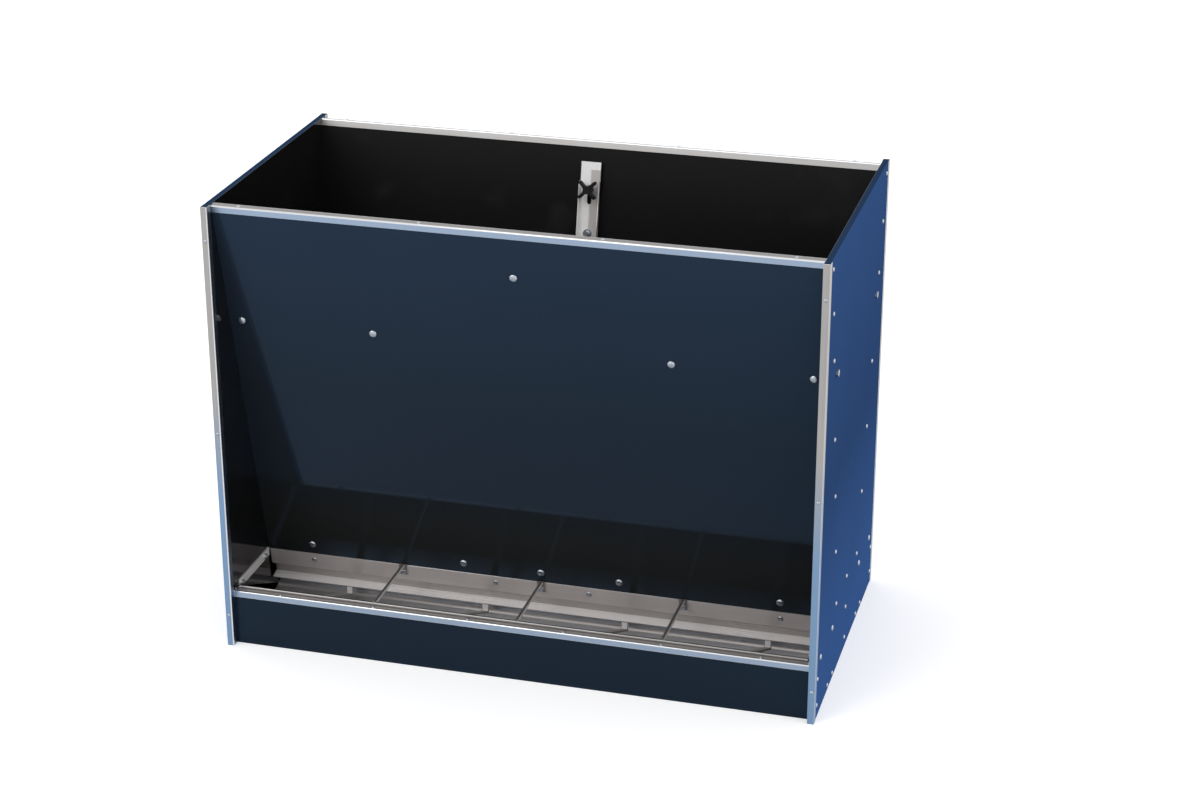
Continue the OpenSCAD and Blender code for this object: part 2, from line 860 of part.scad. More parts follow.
module edge_profile_screws() {
    color(zinc) both_sides() edge_profile_screw_places() screw(tack_d, tack_l, tack_head_d, tack_head_h);
}

module top_profile_screws() {
    color(zinc) both_sides() top_profile_screw_places() screw(tack_d, tack_l, tack_head_d, tack_head_h);
}

module trough_lip_screws() {
    color(zinc) both_sides() lip_screw_places() screw(tack_d, tack_l, tack_head_d, tack_head_h);
}

module foot_strip_screws() {
    color(zinc) both_sides() foot_screw_places() screw(tack_d, tack_l, foot_head_d, tack_head_h);
}

// Gate, lift bar and strip: one sliding piece of gear
module gate() {
    gate_l = inner_w - 2 * gate_end_gap;
    slot = bush_d + 2 * slot_gap;
    y1 = board_t + bar_low_w;
    z0 = -gate_foot_down - gate_t;
    path = [[y1 - gate_lip, z0], [y1, z0], [y1, -gate_top_down]];
    difference() {
        panel_frame() along_x(gate_l) polygon(sheet_outline(path, gate_t));
        for (x = guide_xs)
            at_panel(x, guide_down, gate_w) slot_cut(slot, -slot_gap, gate_travel + slot_gap, gate_t);
    }
    for (down = gate_stud_downs)
        at_panel(0, down, gate_w + gate_t / 2)
            cylinder(d = bolt_d, h = gate_t / 2 + bar_t + nut_h + washer_t + bolt_proud);
}

module front_gate() {
    color(steel) gate();
}

module rear_gate() {
    color(steel) rear() gate();
}

// Lift bar: flat on the gate plate, then joggled clear of the stiffener
module lift_bar() {
    low_y = board_t + bar_low_w;
    high_y = board_t + bar_high_w;
    joggle_down = gate_top_down - bar_joggle;
    path = [
        [low_y, -bar_foot_down], [low_y, -gate_top_down],
        [high_y, -joggle_down], [high_y, -bar_down]
    ];
    difference() {
        panel_frame() along_x(bar_w) polygon(sheet_outline(path, -bar_t));
        for (down = concat(gate_stud_downs, strip_bolt_downs))
            at_panel(0, down) bore(bolt_d + 2 * hole_gap, 0, strip_web_w + bar_t);
    }
}

module front_lift_bar() {
    color(steel) lift_bar();
}

module rear_lift_bar() {
    color(steel) rear() lift_bar();
}

// Adjusting strip: a channel with a flat tab above it and the clamp's slot
module adjusting_strip() {
    x1 = strip_w / 2;
    path = [[-x1, strip_leg], [-x1, 0], [x1, 0], [x1, strip_leg]];
    difference() {
        union() {
            panel_frame() translate([0, board_t + strip_web_w, -strip_end_down])
                linear_extrude(strip_l - strip_tab) polygon(sheet_outline(path, strip_t));
            panel_frame() translate([-x1, board_t + strip_web_w, -strip_down - strip_tab])
                cube([strip_w, strip_t, strip_tab]);
        }
        at_panel(0, clamp_down, strip_web_w)
            slot_cut(slot_w, -slot_margin, gate_travel + slot_margin, strip_t);
        for (down = strip_bolt_downs)
            at_panel(0, down, strip_web_w) bore(bolt_d + 2 * hole_gap, 0, strip_t);
    }
}

module front_adjusting_strip() {
    color(steel) adjusting_strip();
}

module rear_adjusting_strip() {
    color(steel) rear() adjusting_strip();
}

module strip_bolts() {
    l = bar_t + strip_t + washer_t + nut_h + bolt_proud;
    for (down = strip_bolt_downs) at_panel(0, down, bar_high_w) carriage_bolt(l);
}

module front_strip_bolts() {
    color(zinc) strip_bolts();
}

module rear_strip_bolts() {
    color(zinc) rear() strip_bolts();
}

module gate_nuts() {
    h = nut_h + washer_t;
    for (down = gate_stud_downs) at_panel(0, down, bar_low_w + bar_t) collar_nut(h);
    for (down = strip_bolt_downs) at_panel(0, down, strip_web_w + strip_t) collar_nut(h);
}

module front_gate_nuts() {
    color(zinc) gate_nuts();
}

module rear_gate_nuts() {
    color(zinc) rear() gate_nuts();
}

// Clamp: washer and star knob on the stud
module clamp_washer() {
    at_panel(0, clamp_down, clamp_washer_w) difference() {
        cylinder(d = washer_d, h = washer_t);
        bore(bolt_d + 2 * thread_gap, 0, washer_t);
    }
}

module front_clamp_washer() {
    color(zinc) clamp_washer();
}

module rear_clamp_washer() {
    color(zinc) rear() clamp_washer();
}

module star_knob() {
    arm_r = knob_arm / 2;
    arm_x = knob_d / 2 - arm_r;
    at_panel(0, clamp_down, knob_w) difference() {
        union() {
            cylinder(d1 = knob_foot, d2 = knob_hub, h = knob_neck);
            translate([0, 0, knob_neck]) {
                cylinder(d = knob_hub, h = knob_h);
                for (a = [45 : 90 : 315]) rotate([0, 0, a]) {
                    translate([0, -arm_r, 0]) cube([arm_x, knob_arm, knob_h]);
                    translate([arm_x, 0, 0]) cylinder(d = knob_arm, h = knob_h);
                }
            }
        }
        bore(bolt_d + 2 * thread_gap, 0, knob_bore);
    }
}

module front_star_knob() {
    color(black) star_knob();
}

module rear_star_knob() {
    color(black) rear() star_knob();
}

left_side_panel();
right_side_panel();
front_panel();
rear_panel();
front_kick_plate();
rear_kick_plate();
front_floor_board();
rear_floor_board();
centre_board();
front_left_edge_profile();
front_right_edge_profile();
rear_left_edge_profile();
rear_right_edge_profile();
front_top_profile();
rear_top_profile();
front_trough();
rear_trough();
front_foot_strip();
rear_foot_strip();
front_rim_rod();
rear_rim_rod();
front_divider_rods();
rear_divider_rods();
front_end_bars();
rear_end_bars();
front_gap_straps();
rear_gap_straps();
front_stiffener();
rear_stiffener();
front_clamp_stud();
rear_clamp_stud();
clamp_collar_nuts();
guide_bolts();
guide_bushes();
guide_nuts();
stiffener_bolts();
stiffener_end_bolts();
stiffener_nuts();
side_panel_screws();
end_bar_bolts();
end_bar_nuts();
edge_profile_screws();
top_profile_screws();
trough_lip_screws();
foot_strip_screws();
front_gate();
rear_gate();
front_lift_bar();
rear_lift_bar();
front_adjusting_strip();
rear_adjusting_strip();
front_strip_bolts();
rear_strip_bolts();
front_gate_nuts();
rear_gate_nuts();
front_clamp_washer();
rear_clamp_washer();
front_star_knob();
rear_star_knob();
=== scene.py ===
# %% [markdown]
# # Dressing a double-sided pig feeder
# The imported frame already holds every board, bar and bolt at its true size and place, so nothing here moves
# or resizes it. This lesson gives each surface its finish, swaps the plain screws, nuts and knobs for finer
# ones, rounds the folds of the sheet, lays the weld beads, and sets up a pale studio with the camera where
# the photographer stood.

# %% Load the frame
import json
import math

import bmesh
import bpy
import numpy as np
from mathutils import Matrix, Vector

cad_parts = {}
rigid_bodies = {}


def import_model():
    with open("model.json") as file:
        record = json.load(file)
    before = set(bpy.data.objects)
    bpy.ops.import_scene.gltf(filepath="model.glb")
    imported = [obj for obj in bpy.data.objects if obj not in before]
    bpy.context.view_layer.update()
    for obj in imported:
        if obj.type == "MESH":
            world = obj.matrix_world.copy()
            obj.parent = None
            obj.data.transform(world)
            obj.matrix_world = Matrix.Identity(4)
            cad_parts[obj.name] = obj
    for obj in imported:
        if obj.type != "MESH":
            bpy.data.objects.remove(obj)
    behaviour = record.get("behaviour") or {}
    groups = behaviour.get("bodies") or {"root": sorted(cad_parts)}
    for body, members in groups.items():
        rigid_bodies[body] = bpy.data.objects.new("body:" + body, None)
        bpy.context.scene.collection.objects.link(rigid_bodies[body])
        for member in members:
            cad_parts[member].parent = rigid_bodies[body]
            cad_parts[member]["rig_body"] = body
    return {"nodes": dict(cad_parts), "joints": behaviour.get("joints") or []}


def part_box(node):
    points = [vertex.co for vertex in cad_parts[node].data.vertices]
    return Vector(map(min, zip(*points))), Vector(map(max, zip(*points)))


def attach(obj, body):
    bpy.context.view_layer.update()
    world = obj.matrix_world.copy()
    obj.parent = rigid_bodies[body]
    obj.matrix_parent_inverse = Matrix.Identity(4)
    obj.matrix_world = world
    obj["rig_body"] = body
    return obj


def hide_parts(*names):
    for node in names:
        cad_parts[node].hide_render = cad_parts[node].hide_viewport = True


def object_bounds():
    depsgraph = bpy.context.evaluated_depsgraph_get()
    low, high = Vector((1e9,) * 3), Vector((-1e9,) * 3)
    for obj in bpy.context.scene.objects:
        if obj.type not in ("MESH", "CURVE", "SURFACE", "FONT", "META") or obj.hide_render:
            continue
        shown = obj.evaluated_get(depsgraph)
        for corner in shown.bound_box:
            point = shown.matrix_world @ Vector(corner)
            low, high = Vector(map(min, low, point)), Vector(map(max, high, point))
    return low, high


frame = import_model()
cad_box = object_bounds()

nodes = frame["nodes"]
joints = {j["name"]: j for j in frame["joints"]}
scene = bpy.context.scene
MM = 0.001
up_slope = Vector(joints["front_gate_slide"]["axis"])
inward = Vector(joints["front_clamp_lift"]["axis"])
print(f"{len(nodes)} nodes, box {[round(x, 3) for x in cad_box[1] - cad_box[0]]} m")

# %% [markdown]
# The camera stands to the right of the trough and above it, and looks down along its length. It could be
# aimed by hand in the viewport, but the place, two angles and a focal length that fit the picture's corners
# are exact and can be read. The lens has no shift, so every other view stays centred too.

# %% Camera
CAMERA_PLACE = Vector((1.361, -4.619, 2.528))
CAMERA_TILT = math.radians(67)
CAMERA_TURN = math.radians(15.35)
SENSOR_WIDTH, FOCAL_LENGTH = 36, 76.9


def placed(name, data):
    """A new object with this data, linked into the scene."""
    thing = bpy.data.objects.new(name, data)
    scene.collection.objects.link(thing)
    return thing


lens = bpy.data.cameras.new("camera")
lens.sensor_width = SENSOR_WIDTH
lens.lens = FOCAL_LENGTH
camera = placed("camera", lens)
camera.location = CAMERA_PLACE
camera.rotation_euler = (CAMERA_TILT, 0, CAMERA_TURN)
scene.camera = camera
print("camera stands", round(CAMERA_PLACE.length, 2), "m from the feeder's foot")

# %% [markdown]
# A node tree is only nodes, settings and wires, so two small helpers build them all: one adds a node, the
# other gives its inputs a value or a wire. The rest are short names for nodes that come up again and again.

# %% Helpers for node trees
def fill(tree, node, inputs):
    """Gives a node's inputs their values or wires."""
    for key, value in inputs.items():
        if isinstance(value, bpy.types.NodeSocket):
            tree.links.new(value, node.inputs[key])
        else:
            node.inputs[key].default_value = value


def add(tree, kind, inputs=None, **settings):
    """Adds a node, sets its properties and fills its inputs."""
    node = tree.nodes.new(kind)
    for key, value in settings.items():
        setattr(node, key, value)
    fill(tree, node, inputs or {})
    return node


def math_node(tree, operation, *values):
    return add(tree, "ShaderNodeMath", dict(enumerate(values)), operation=operation).outputs[0]


def times(tree, first, second):
    return math_node(tree, "MULTIPLY", first, second)


def plus(tree, first, second):
    return math_node(tree, "ADD", first, second)


def vector_node(tree, operation, *values):
    node = add(tree, "ShaderNodeVectorMath", dict(enumerate(values)), operation=operation)
    return node.outputs["Value" if operation == "DOT_PRODUCT" else "Vector"]


def split(tree, vector):
    return add(tree, "ShaderNodeSeparateXYZ", {0: vector}).outputs


def vector_of(tree, x=0.0, y=0.0, z=0.0):
    return add(tree, "ShaderNodeCombineXYZ", {0: x, 1: y, 2: z}).outputs[0]


def noise(tree, place, scale, detail, roughness=0.5):
    values = {"Vector": place, "Scale": scale, "Detail": detail, "Roughness": roughness}
    return add(tree, "ShaderNodeTexNoise", values).outputs[0]


def ramp(tree, value, low, high, to_low=0.0, to_high=1.0):
    """Carries a value from the span low..high over to the span to_low..to_high."""
    spans = {"Value": value, "From Min": low, "From Max": high, "To Min": to_low, "To Max": to_high}
    return add(tree, "ShaderNodeMapRange", spans).outputs[0]


def bumped(tree, height, strength, distance):
    values = {"Height": height, "Strength": strength, "Distance": distance}
    return add(tree, "ShaderNodeBump", values).outputs[0]


def blend_colour(tree, share, first, second):
    node = add(tree, "ShaderNodeMix", {0: share, 6: first, 7: second}, data_type="RGBA")
    return node.outputs[2]


def colour(red, green, blue):
    return (red, green, blue, 1.0)


def toned(tone, factor):
    """A tone made darker or lighter."""
    return colour(*[min(1.0, part * factor) for part in tone])


def blank_material(name):
    """A material with one Principled shader wired to its output."""
    material = bpy.data.materials.new(name)
    material.use_nodes = True
    tree = material.node_tree
    tree.nodes.clear()
    shader = add(tree, "ShaderNodeBsdfPrincipled")
    add(tree, "ShaderNodeOutputMaterial", {"Surface": shader.outputs[0]})
    place = add(tree, "ShaderNodeTexCoord").outputs["Object"]
    return material, tree, shader, place


# %% [markdown]
# The studio is a wide pale floor under an even white sky, with one large soft lamp in front and above on the
# left, and a weaker one on the right. The glossy boards and the steel show whatever stands round them, so
# the floor's colour matters as much as the lamps: the sloped panels lean outwards at the top and mirror it.
# A white background could come from stronger lamps, but they would bleach the steel. Instead the floor and
# the sky are lifted for the rays that see them straight, and the floor a little less for those that see it
# in a mirror. The shadow on the floor stays.

# %% Floor, sky and lamps
FLOOR_HALF = 30.0
FLOOR_DROP = 0.4 * MM
MIRROR_LIFT, STRAIGHT_LIFT = 0.2, 0.34
SKY = 0.84
LAMPS = [
    ("key_lamp", (-2.6, -4.2, 4.6), 3.2, 90),
    ("side_lamp", (4.6, -1.2, 3.4), 2.6, 30),
]


def seen_rays(tree):
    """One for rays that see a surface straight, in a mirror or through glass, else nought."""
    path = add(tree, "ShaderNodeLightPath").outputs
    mirrored = math_node(tree, "MAXIMUM", path["Is Glossy Ray"], path["Is Transmission Ray"])
    return math_node(tree, "MAXIMUM", path["Is Camera Ray"], mirrored)


scene.view_settings.view_transform = "Standard"
floor_mesh = bpy.data.meshes.new("floor")
corners = [(x * FLOOR_HALF, y * FLOOR_HALF, -FLOOR_DROP) for x, y in ((-1, -1), (1, -1), (1, 1), (-1, 1))]
floor_mesh.from_pydata(corners, [], [(0, 1, 2, 3)])
floor = placed("floor", floor_mesh)
floor_paint, tree, shader, place = blank_material("pale_floor")
clouds = noise(tree, place, scale=3.0, detail=3.0)
mottle = blend_colour(tree, clouds, colour(0.91, 0.91, 0.92), colour(0.93, 0.93, 0.93))
fill(tree, shader, {"Base Color": mottle, "Roughness": 0.9, "Specular IOR Level": 0.1})
straight = add(tree, "ShaderNodeLightPath").outputs["Is Camera Ray"]
lift = ramp(tree, straight, 0.0, 1.0, MIRROR_LIFT, STRAIGHT_LIFT)
glow = add(tree, "ShaderNodeEmission", {"Strength": times(tree, seen_rays(tree), lift)})
lifted = add(tree, "ShaderNodeAddShader", {0: shader.outputs[0], 1: glow.outputs[0]})
fill(tree, tree.nodes["Material Output"], {"Surface": lifted.outputs[0]})
floor_mesh.materials.append(floor_paint)

world = bpy.data.worlds.new("studio")
scene.world = world
world.use_nodes = True
tree = world.node_tree
lit = ramp(tree, seen_rays(tree), 0.0, 1.0, SKY, 1.0)
fill(tree, tree.nodes["Background"], {"Color": colour(1.0, 1.0, 1.0), "Strength": lit})

centre = (cad_box[0] + cad_box[1]) / 2
for name, spot, size, power in LAMPS:
    light = bpy.data.lights.new(name, "AREA")
    light.shape = "SQUARE"
    light.size = size
    light.energy = power
    lamp = placed(name, light)
    lamp.location = spot
    lamp.rotation_euler = (centre - Vector(spot)).to_track_quat("-Z", "Y").to_euler()
print("studio with", len(LAMPS), "lamps")

# %% [markdown]
# Several finishes share the same small effects, so each effect is a node group made once. Brushed grain is a
# noise pulled long in one direction. Scuffs are a noise cut off near its top, so that only its peaks show.
# Edge rub finds how far a point of a board is from the nearest edge: of its three distances to the faces,
# the middle one.

# %% Shared effects
VECTOR, FLOAT = "NodeSocketVector", "NodeSocketFloat"
RUB_WIDTH = 4 * MM


def group(name, wanted, made, family="ShaderNodeTree"):
    """An empty node group with named inputs and outputs."""
    tree = bpy.data.node_groups.new(name, family)
    for way, sockets in (("INPUT", wanted), ("OUTPUT", made)):
        for label, kind in sockets:
            tree.interface.new_socket(label, in_out=way, socket_type=kind)
    return tree, add(tree, "NodeGroupInput").outputs, add(tree, "NodeGroupOutput")


def apply_effect(tree, effect, inputs):
    return add(tree, "ShaderNodeGroup", inputs, node_tree=effect).outputs


grain_effect, given, result = group(
    "brushed_grain", [("Place", VECTOR), ("Stretch", VECTOR)], [("Streak", FLOAT), ("Cloud", FLOAT)])
pulled = vector_node(grain_effect, "MULTIPLY", given["Place"], given["Stretch"])
streak = noise(grain_effect, pulled, scale=1.0, detail=4.0, roughness=0.6)
cloud = noise(grain_effect, given["Place"], scale=9.0, detail=5.0)
fill(grain_effect, result, {"Streak": streak, "Cloud": cloud})

scuff_effect, given, result = group(
    "scuffs", [("Place", VECTOR), ("Scale", FLOAT), ("Cut", FLOAT)], [("Mask", FLOAT)])
patches = noise(scuff_effect, given["Place"], given["Scale"], detail=8.0)
above = math_node(scuff_effect, "SUBTRACT", patches, given["Cut"])
fill(scuff_effect, result, {"Mask": ramp(scuff_effect, above, 0.0, 0.12)})

rub_effect, given, result = group(
    "edge_rub", [(label, VECTOR) for label in ("Place", "Middle", "Half")], [("Mask", FLOAT)])
tree = rub_effect
from_middle = vector_node(tree, "SUBTRACT", given["Place"], given["Middle"])
from_middle = vector_node(tree, "ABSOLUTE", from_middle)
to_x, to_y, to_z = split(tree, vector_node(tree, "SUBTRACT", given["Half"], from_middle))
least, most = [math_node(tree, operation, to_x, to_y) for operation in ("MINIMUM", "MAXIMUM")]
edge_gap = math_node(tree, "MAXIMUM", least, math_node(tree, "MINIMUM", most, to_z))
nearness = math_node(tree, "SUBTRACT", 1.0, math_node(tree, "DIVIDE", edge_gap, RUB_WIDTH))
broken = noise(tree, given["Place"], scale=120.0, detail=6.0)
worn = plus(tree, nearness, times(tree, broken, 0.9))
fill(tree, result, {"Mask": ramp(tree, worn, 1.1, 1.5)})
print("effects:", grain_effect.name, scuff_effect.name, rub_effect.name)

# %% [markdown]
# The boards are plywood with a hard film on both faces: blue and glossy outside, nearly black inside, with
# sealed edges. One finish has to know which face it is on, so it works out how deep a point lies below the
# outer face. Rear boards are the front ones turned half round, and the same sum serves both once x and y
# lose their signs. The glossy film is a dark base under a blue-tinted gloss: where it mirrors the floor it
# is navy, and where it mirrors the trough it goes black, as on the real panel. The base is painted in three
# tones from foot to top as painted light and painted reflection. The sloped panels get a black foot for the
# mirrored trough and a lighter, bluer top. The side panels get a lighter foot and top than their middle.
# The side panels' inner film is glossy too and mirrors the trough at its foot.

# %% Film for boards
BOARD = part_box("right_side_panel")[1].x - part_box("right_side_panel")[0].x
FACE, PLY, RIPPLE = 0.4 * MM, 1.5 * MM, 0.4 * MM
MOTTLE, RUB, EDGE_DULL = 0.25, 0.35, 0.35
SCUFF_DULL, INNER_DULL = 1.6, 1.4
NAVY_GLOSS = colour(0.12, 0.46, 1.0)
SEALED_EDGE, PLY_LINE = colour(0.016, 0.034, 0.075), colour(0.024, 0.05, 0.105)
INNER_FILM, INNER_DUST = colour(0.0065, 0.0065, 0.007), colour(0.013, 0.013, 0.013)


def board_span(node, axes):
    """Lowest and highest reach of a board along its axes. Across, it is as long on both sides."""
    points = np.abs(np.array([v.co for v in nodes[node].data.vertices]))
    reach = points @ np.array(axes).T
    low, high = reach.min(0), reach.max(0)
    low[0] = -high[0]
    return low, high


def painted_light_tone(tree, height, films, light_fades):
    """Painted light: three tones from foot to top, each faded into the next."""
    foot, waist, top = [colour(*film) for film in films]
    tone = blend_colour(tree, ramp(tree, height, *light_fades[0]), foot, waist)
    return blend_colour(tree, ramp(tree, height, *light_fades[1]), tone, top)


def inner_face(tree, scuffs, bump, gloss):
    """The black film on a board's inner face."""
    level, roughness = gloss
    dusty = blend_colour(tree, times(tree, scuffs, 0.5), INNER_FILM, INNER_DUST)
    rough = ramp(tree, scuffs, 0.0, 1.0, roughness, roughness * INNER_DULL)
    inputs = {"Base Color": dusty, "Roughness": rough, "Normal": bump, "Specular IOR Level": level}
    return add(tree, "ShaderNodeBsdfPrincipled", inputs).outputs[0]


def film_board(name, sample, axes, films, light_fades, outer_gloss, inner_gloss):
    """Film on a board whose axes run across it, in from its outer face, and up it."""
    material, tree, outer, place = blank_material(name)
    level, roughness = outer_gloss
    low, high = board_span(sample, axes)
    unsigned = vector_node(tree, "ABSOLUTE", place)
    along = [vector_node(tree, "DOT_PRODUCT", unsigned, tuple(axis)) for axis in axes]
    depth = math_node(tree, "SUBTRACT", along[1], float(low[1]))
    below_film = math_node(tree, "GREATER_THAN", depth, FACE)
    inside = math_node(tree, "GREATER_THAN", depth, BOARD - FACE)
    on_edge = times(tree, below_film, math_node(tree, "LESS_THAN", depth, BOARD - FACE))

    scuffs = apply_effect(tree, scuff_effect, {"Place": place, "Scale": 9.0, "Cut": 0.58})["Mask"]
    middle, half = (low + high) / 2, (high - low) / 2
    board = {"Place": vector_of(tree, *along), "Middle": tuple(middle), "Half": tuple(half)}
    rub = times(tree, apply_effect(tree, rub_effect, board)["Mask"], RUB)
    mottle = ramp(tree, noise(tree, place, scale=4.0, detail=5.0), 0.0, 1.0, 0.0, MOTTLE)
    plies = ramp(tree, math_node(tree, "PINGPONG", depth, PLY), 0.3 * PLY, 0.7 * PLY)
    base = painted_light_tone(tree, ramp(tree, along[2], float(low[2]), float(high[2])), films, light_fades)
    base = blend_colour(tree, mottle, base, toned(films[1], 0.6))
    base = blend_colour(tree, rub, base, colour(*[part * 1.6 + 0.006 for part in films[1]]))
    base = blend_colour(tree, on_edge, base, blend_colour(tree, plies, SEALED_EDGE, PLY_LINE))
    smooth = ramp(tree, scuffs, 0.0, 1.0, roughness, roughness * SCUFF_DULL)
    bump = bumped(tree, noise(tree, place, scale=38.0, detail=2.0), strength=0.05, distance=RIPPLE)
    fill(tree, outer, {"Base Color": base, "Roughness": plus(tree, smooth, times(tree, on_edge, EDGE_DULL)),
                       "Normal": bump, "Specular Tint": NAVY_GLOSS, "Specular IOR Level": level})
    shaders = {0: inside, 1: outer.outputs[0], 2: inner_face(tree, scuffs, bump, inner_gloss)}
    both = add(tree, "ShaderNodeMixShader", shaders).outputs[0]
    fill(tree, tree.nodes["Material Output"], {"Surface": both})
    return material


print("boards are", round(BOARD / MM, 1), "mm thick")

# %% [markdown]
# Three films dress the boards: one for the sloped panels, one for the upright and level boards of the foot,
# and one for the side panels, whose outer face is a brighter and duller blue. A gloss is a pair: how
# strongly the film mirrors, and how rough it is. A fade is a pair of heights, as shares of the board.

# %% Boards dressed
ACROSS, UP = Vector((1, 0, 0)), Vector((0, 0, 1))
PANEL_AXES = [ACROSS, Vector((0, -inward.y, inward.z)), Vector((0, -up_slope.y, up_slope.z))]
UPRIGHT_AXES = [ACROSS, Vector((0, -1, 0)), UP]
SIDE_AXES = [Vector((0, 1, 0)), Vector((-1, 0, 0)), UP]
# The fades say where the painted light goes over from one tone to the next, as shares of the board's height.
SHORT_LIGHT_FADES, LONG_LIGHT_FADES = ((0.14, 0.3), (0.5, 1.0)), ((0.0, 0.5), (0.5, 1.0))
PANEL_GLOSS, KICK_GLOSS, SIDE_GLOSS = (0.23, 0.05), (0.25, 0.07), (0.0, 0.4)
DULL_INSIDE, GLOSSY_INSIDE = (0.12, 0.32), (0.5, 0.1)
NAVY = (0.0114, 0.0149, 0.0198)
# Foot, waist and top tones of the sloped and side panels' films. They hold painted light and painted
# reflection.
DARK_FILM_WITH_PAINTED_LIGHT = [(0.016, 0.0168, 0.016), NAVY, (0.0161, 0.0248, 0.0416)]
BLUE_FILM_WITH_PAINTED_LIGHT = [(0.049, 0.122, 0.335), (0.0266, 0.063, 0.17), (0.036, 0.087, 0.231)]
FRONT_REAR = ("front_", "rear_")


def both_sides(names):
    return [side + name for side in FRONT_REAR for name in names]


dressed = set()


def dress(finishes):
    for material, names in finishes.items():
        for name in names:
            nodes[name].data.materials.clear()
            nodes[name].data.materials.append(material)
        dressed.update(names)


FILMS = {
    film_board("sloped_panel_film", "front_panel", PANEL_AXES, DARK_FILM_WITH_PAINTED_LIGHT, SHORT_LIGHT_FADES,
               PANEL_GLOSS, DULL_INSIDE): both_sides(["panel"]),
    film_board("kick_plate_film", "front_kick_plate", UPRIGHT_AXES, [NAVY] * 3, LONG_LIGHT_FADES,
               KICK_GLOSS, DULL_INSIDE): both_sides(["kick_plate", "floor_board"]) + ["centre_board"],
    film_board("side_panel_film", "right_side_panel", SIDE_AXES, BLUE_FILM_WITH_PAINTED_LIGHT, LONG_LIGHT_FADES,
               SIDE_GLOSS, GLOSSY_INSIDE): ["left_side_panel", "right_side_panel"],
}
dress(FILMS)
print("boards dressed:", len(dressed))

# %% [markdown]
# Sheet, bar and rod are stainless steel with a brushed or drawn face. A metal has no colour of its own under
# the gloss, so its look comes from the roughness, the direction of the grain and what it mirrors, and here
# also from painted light in each piece's tone. The grain runs the way each piece was rolled or drawn: along
# the trough, up the edge profiles and the adjusting gear.
# What the real steel mirrors and how it is lit change with the way a face looks, with its height and, on the
# adjusting strip, from one half to the other. Cards and lamps round it could give the same, but painted light
# on those faces is simpler and holds in every view: a second tone that is painted reflection, painted
# highlight and painted shade, each on its own faces.

# %% Stainless steel
# Spans of the painted light on the steel: how far a face looks outward, up or to the right, the band near the
# floor, and the adjusting strip's right half below its tab.
FACING, FLANKING = (0.7, 0.95), (0.55, 0.75)
LOW_BAND = (0.34, 0.56)
RIGHT_HALF = (-1 * MM, 3 * MM)
STRIP_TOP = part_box("rear_adjusting_strip")[1].z
TAB_BAND = (STRIP_TOP - 17 * MM, STRIP_TOP - 15 * MM)
BRUSH_DEPTH = 0.1 * MM
STREAK_SPAN, CLOUD_SPAN = (0.3, 0.7), (0.35, 0.65)
DARKER, LIGHTER, UNEVEN = 0.22, 0.12, 0.15
STAIN, STAIN_TONE, STAIN_DULL = 0.14, 0.72, 0.06


def painted_light_mask(tree, place, where):
    """Where painted light goes: faces that look outward, up or to the right, the part near the floor, or the
    strip's right half.
    """
    x, y, z = split(tree, place)
    normal = split(tree, add(tree, "ShaderNodeNewGeometry").outputs["Normal"])
    side = math_node(tree, "SIGN", y)
    spans = {"outward": (times(tree, normal[1], side), *FACING), "upward": (normal[2], *FACING),
             "flank": (normal[0], *FLANKING), "low": (z, *LOW_BAND, 1.0, 0.0)}
    if where in spans:
        return ramp(tree, *spans[where])
    on_right = ramp(tree, times(tree, x, side), *RIGHT_HALF)
    return times(tree, on_right, ramp(tree, z, *TAB_BAND, 1.0, 0.0))


def steel(name, tone, roughness, stretch, grain=0.5, metal=1.0, **painted_tones):
    """Brushed steel of one tone, with painted light as second tones where their masks say."""
    material, tree, shader, place = blank_material(name)
    effect = apply_effect(tree, grain_effect, {"Place": place, "Stretch": stretch})
    streak = ramp(tree, effect["Streak"], *STREAK_SPAN)
    cloud = ramp(tree, effect["Cloud"], *CLOUD_SPAN)
    brushed = blend_colour(tree, streak, toned(tone, 1 - DARKER * grain), toned(tone, 1 + LIGHTER * grain))
    stains_and_painted_light = blend_colour(tree, times(tree, cloud, STAIN), brushed, toned(tone, STAIN_TONE))
    # Each further tone is painted light on its own faces, laid over the real stains.
    for where, second in painted_tones.items():
        stains_and_painted_light = blend_colour(tree, painted_light_mask(tree, place, where), stains_and_painted_light, colour(*second))
    rough = ramp(tree, streak, 0.0, 1.0, roughness * (1 - UNEVEN), roughness * (1 + UNEVEN))
    fill(tree, shader, {"Base Color": stains_and_painted_light, "Roughness": plus(tree, rough, times(tree, cloud, STAIN_DULL)),
                        "Normal": bumped(tree, streak, 0.12 * grain, BRUSH_DEPTH), "Metallic": metal})
    return material


ALONG_X, ALONG_Y, ALONG_Z = (4, 650, 650), (650, 4, 650), (650, 650, 4)
DULL, PALE, COOL = (0.52, 0.49, 0.48), (0.6, 0.59, 0.58), (0.37, 0.36, 0.355)
# The tones by direction are painted light. They are the sky's blue reflected on faces of the trough and top
# profiles that look outward, a bluer reflection low on the edge profiles, the gate's lip lit near white from
# above, and the gap straps' outward faces lit pale. They also give a painted highlight on the divider rods'
# right flanks, and painted shade on the top profile's web and the adjusting strip's right half.
SKY_REFLECTION_BLUE, LOW_REFLECTION_BLUE = (0.3, 0.38, 0.5), (0.19, 0.3, 0.46)
EDGE_PROFILES = ["left_edge_profile", "right_edge_profile"]
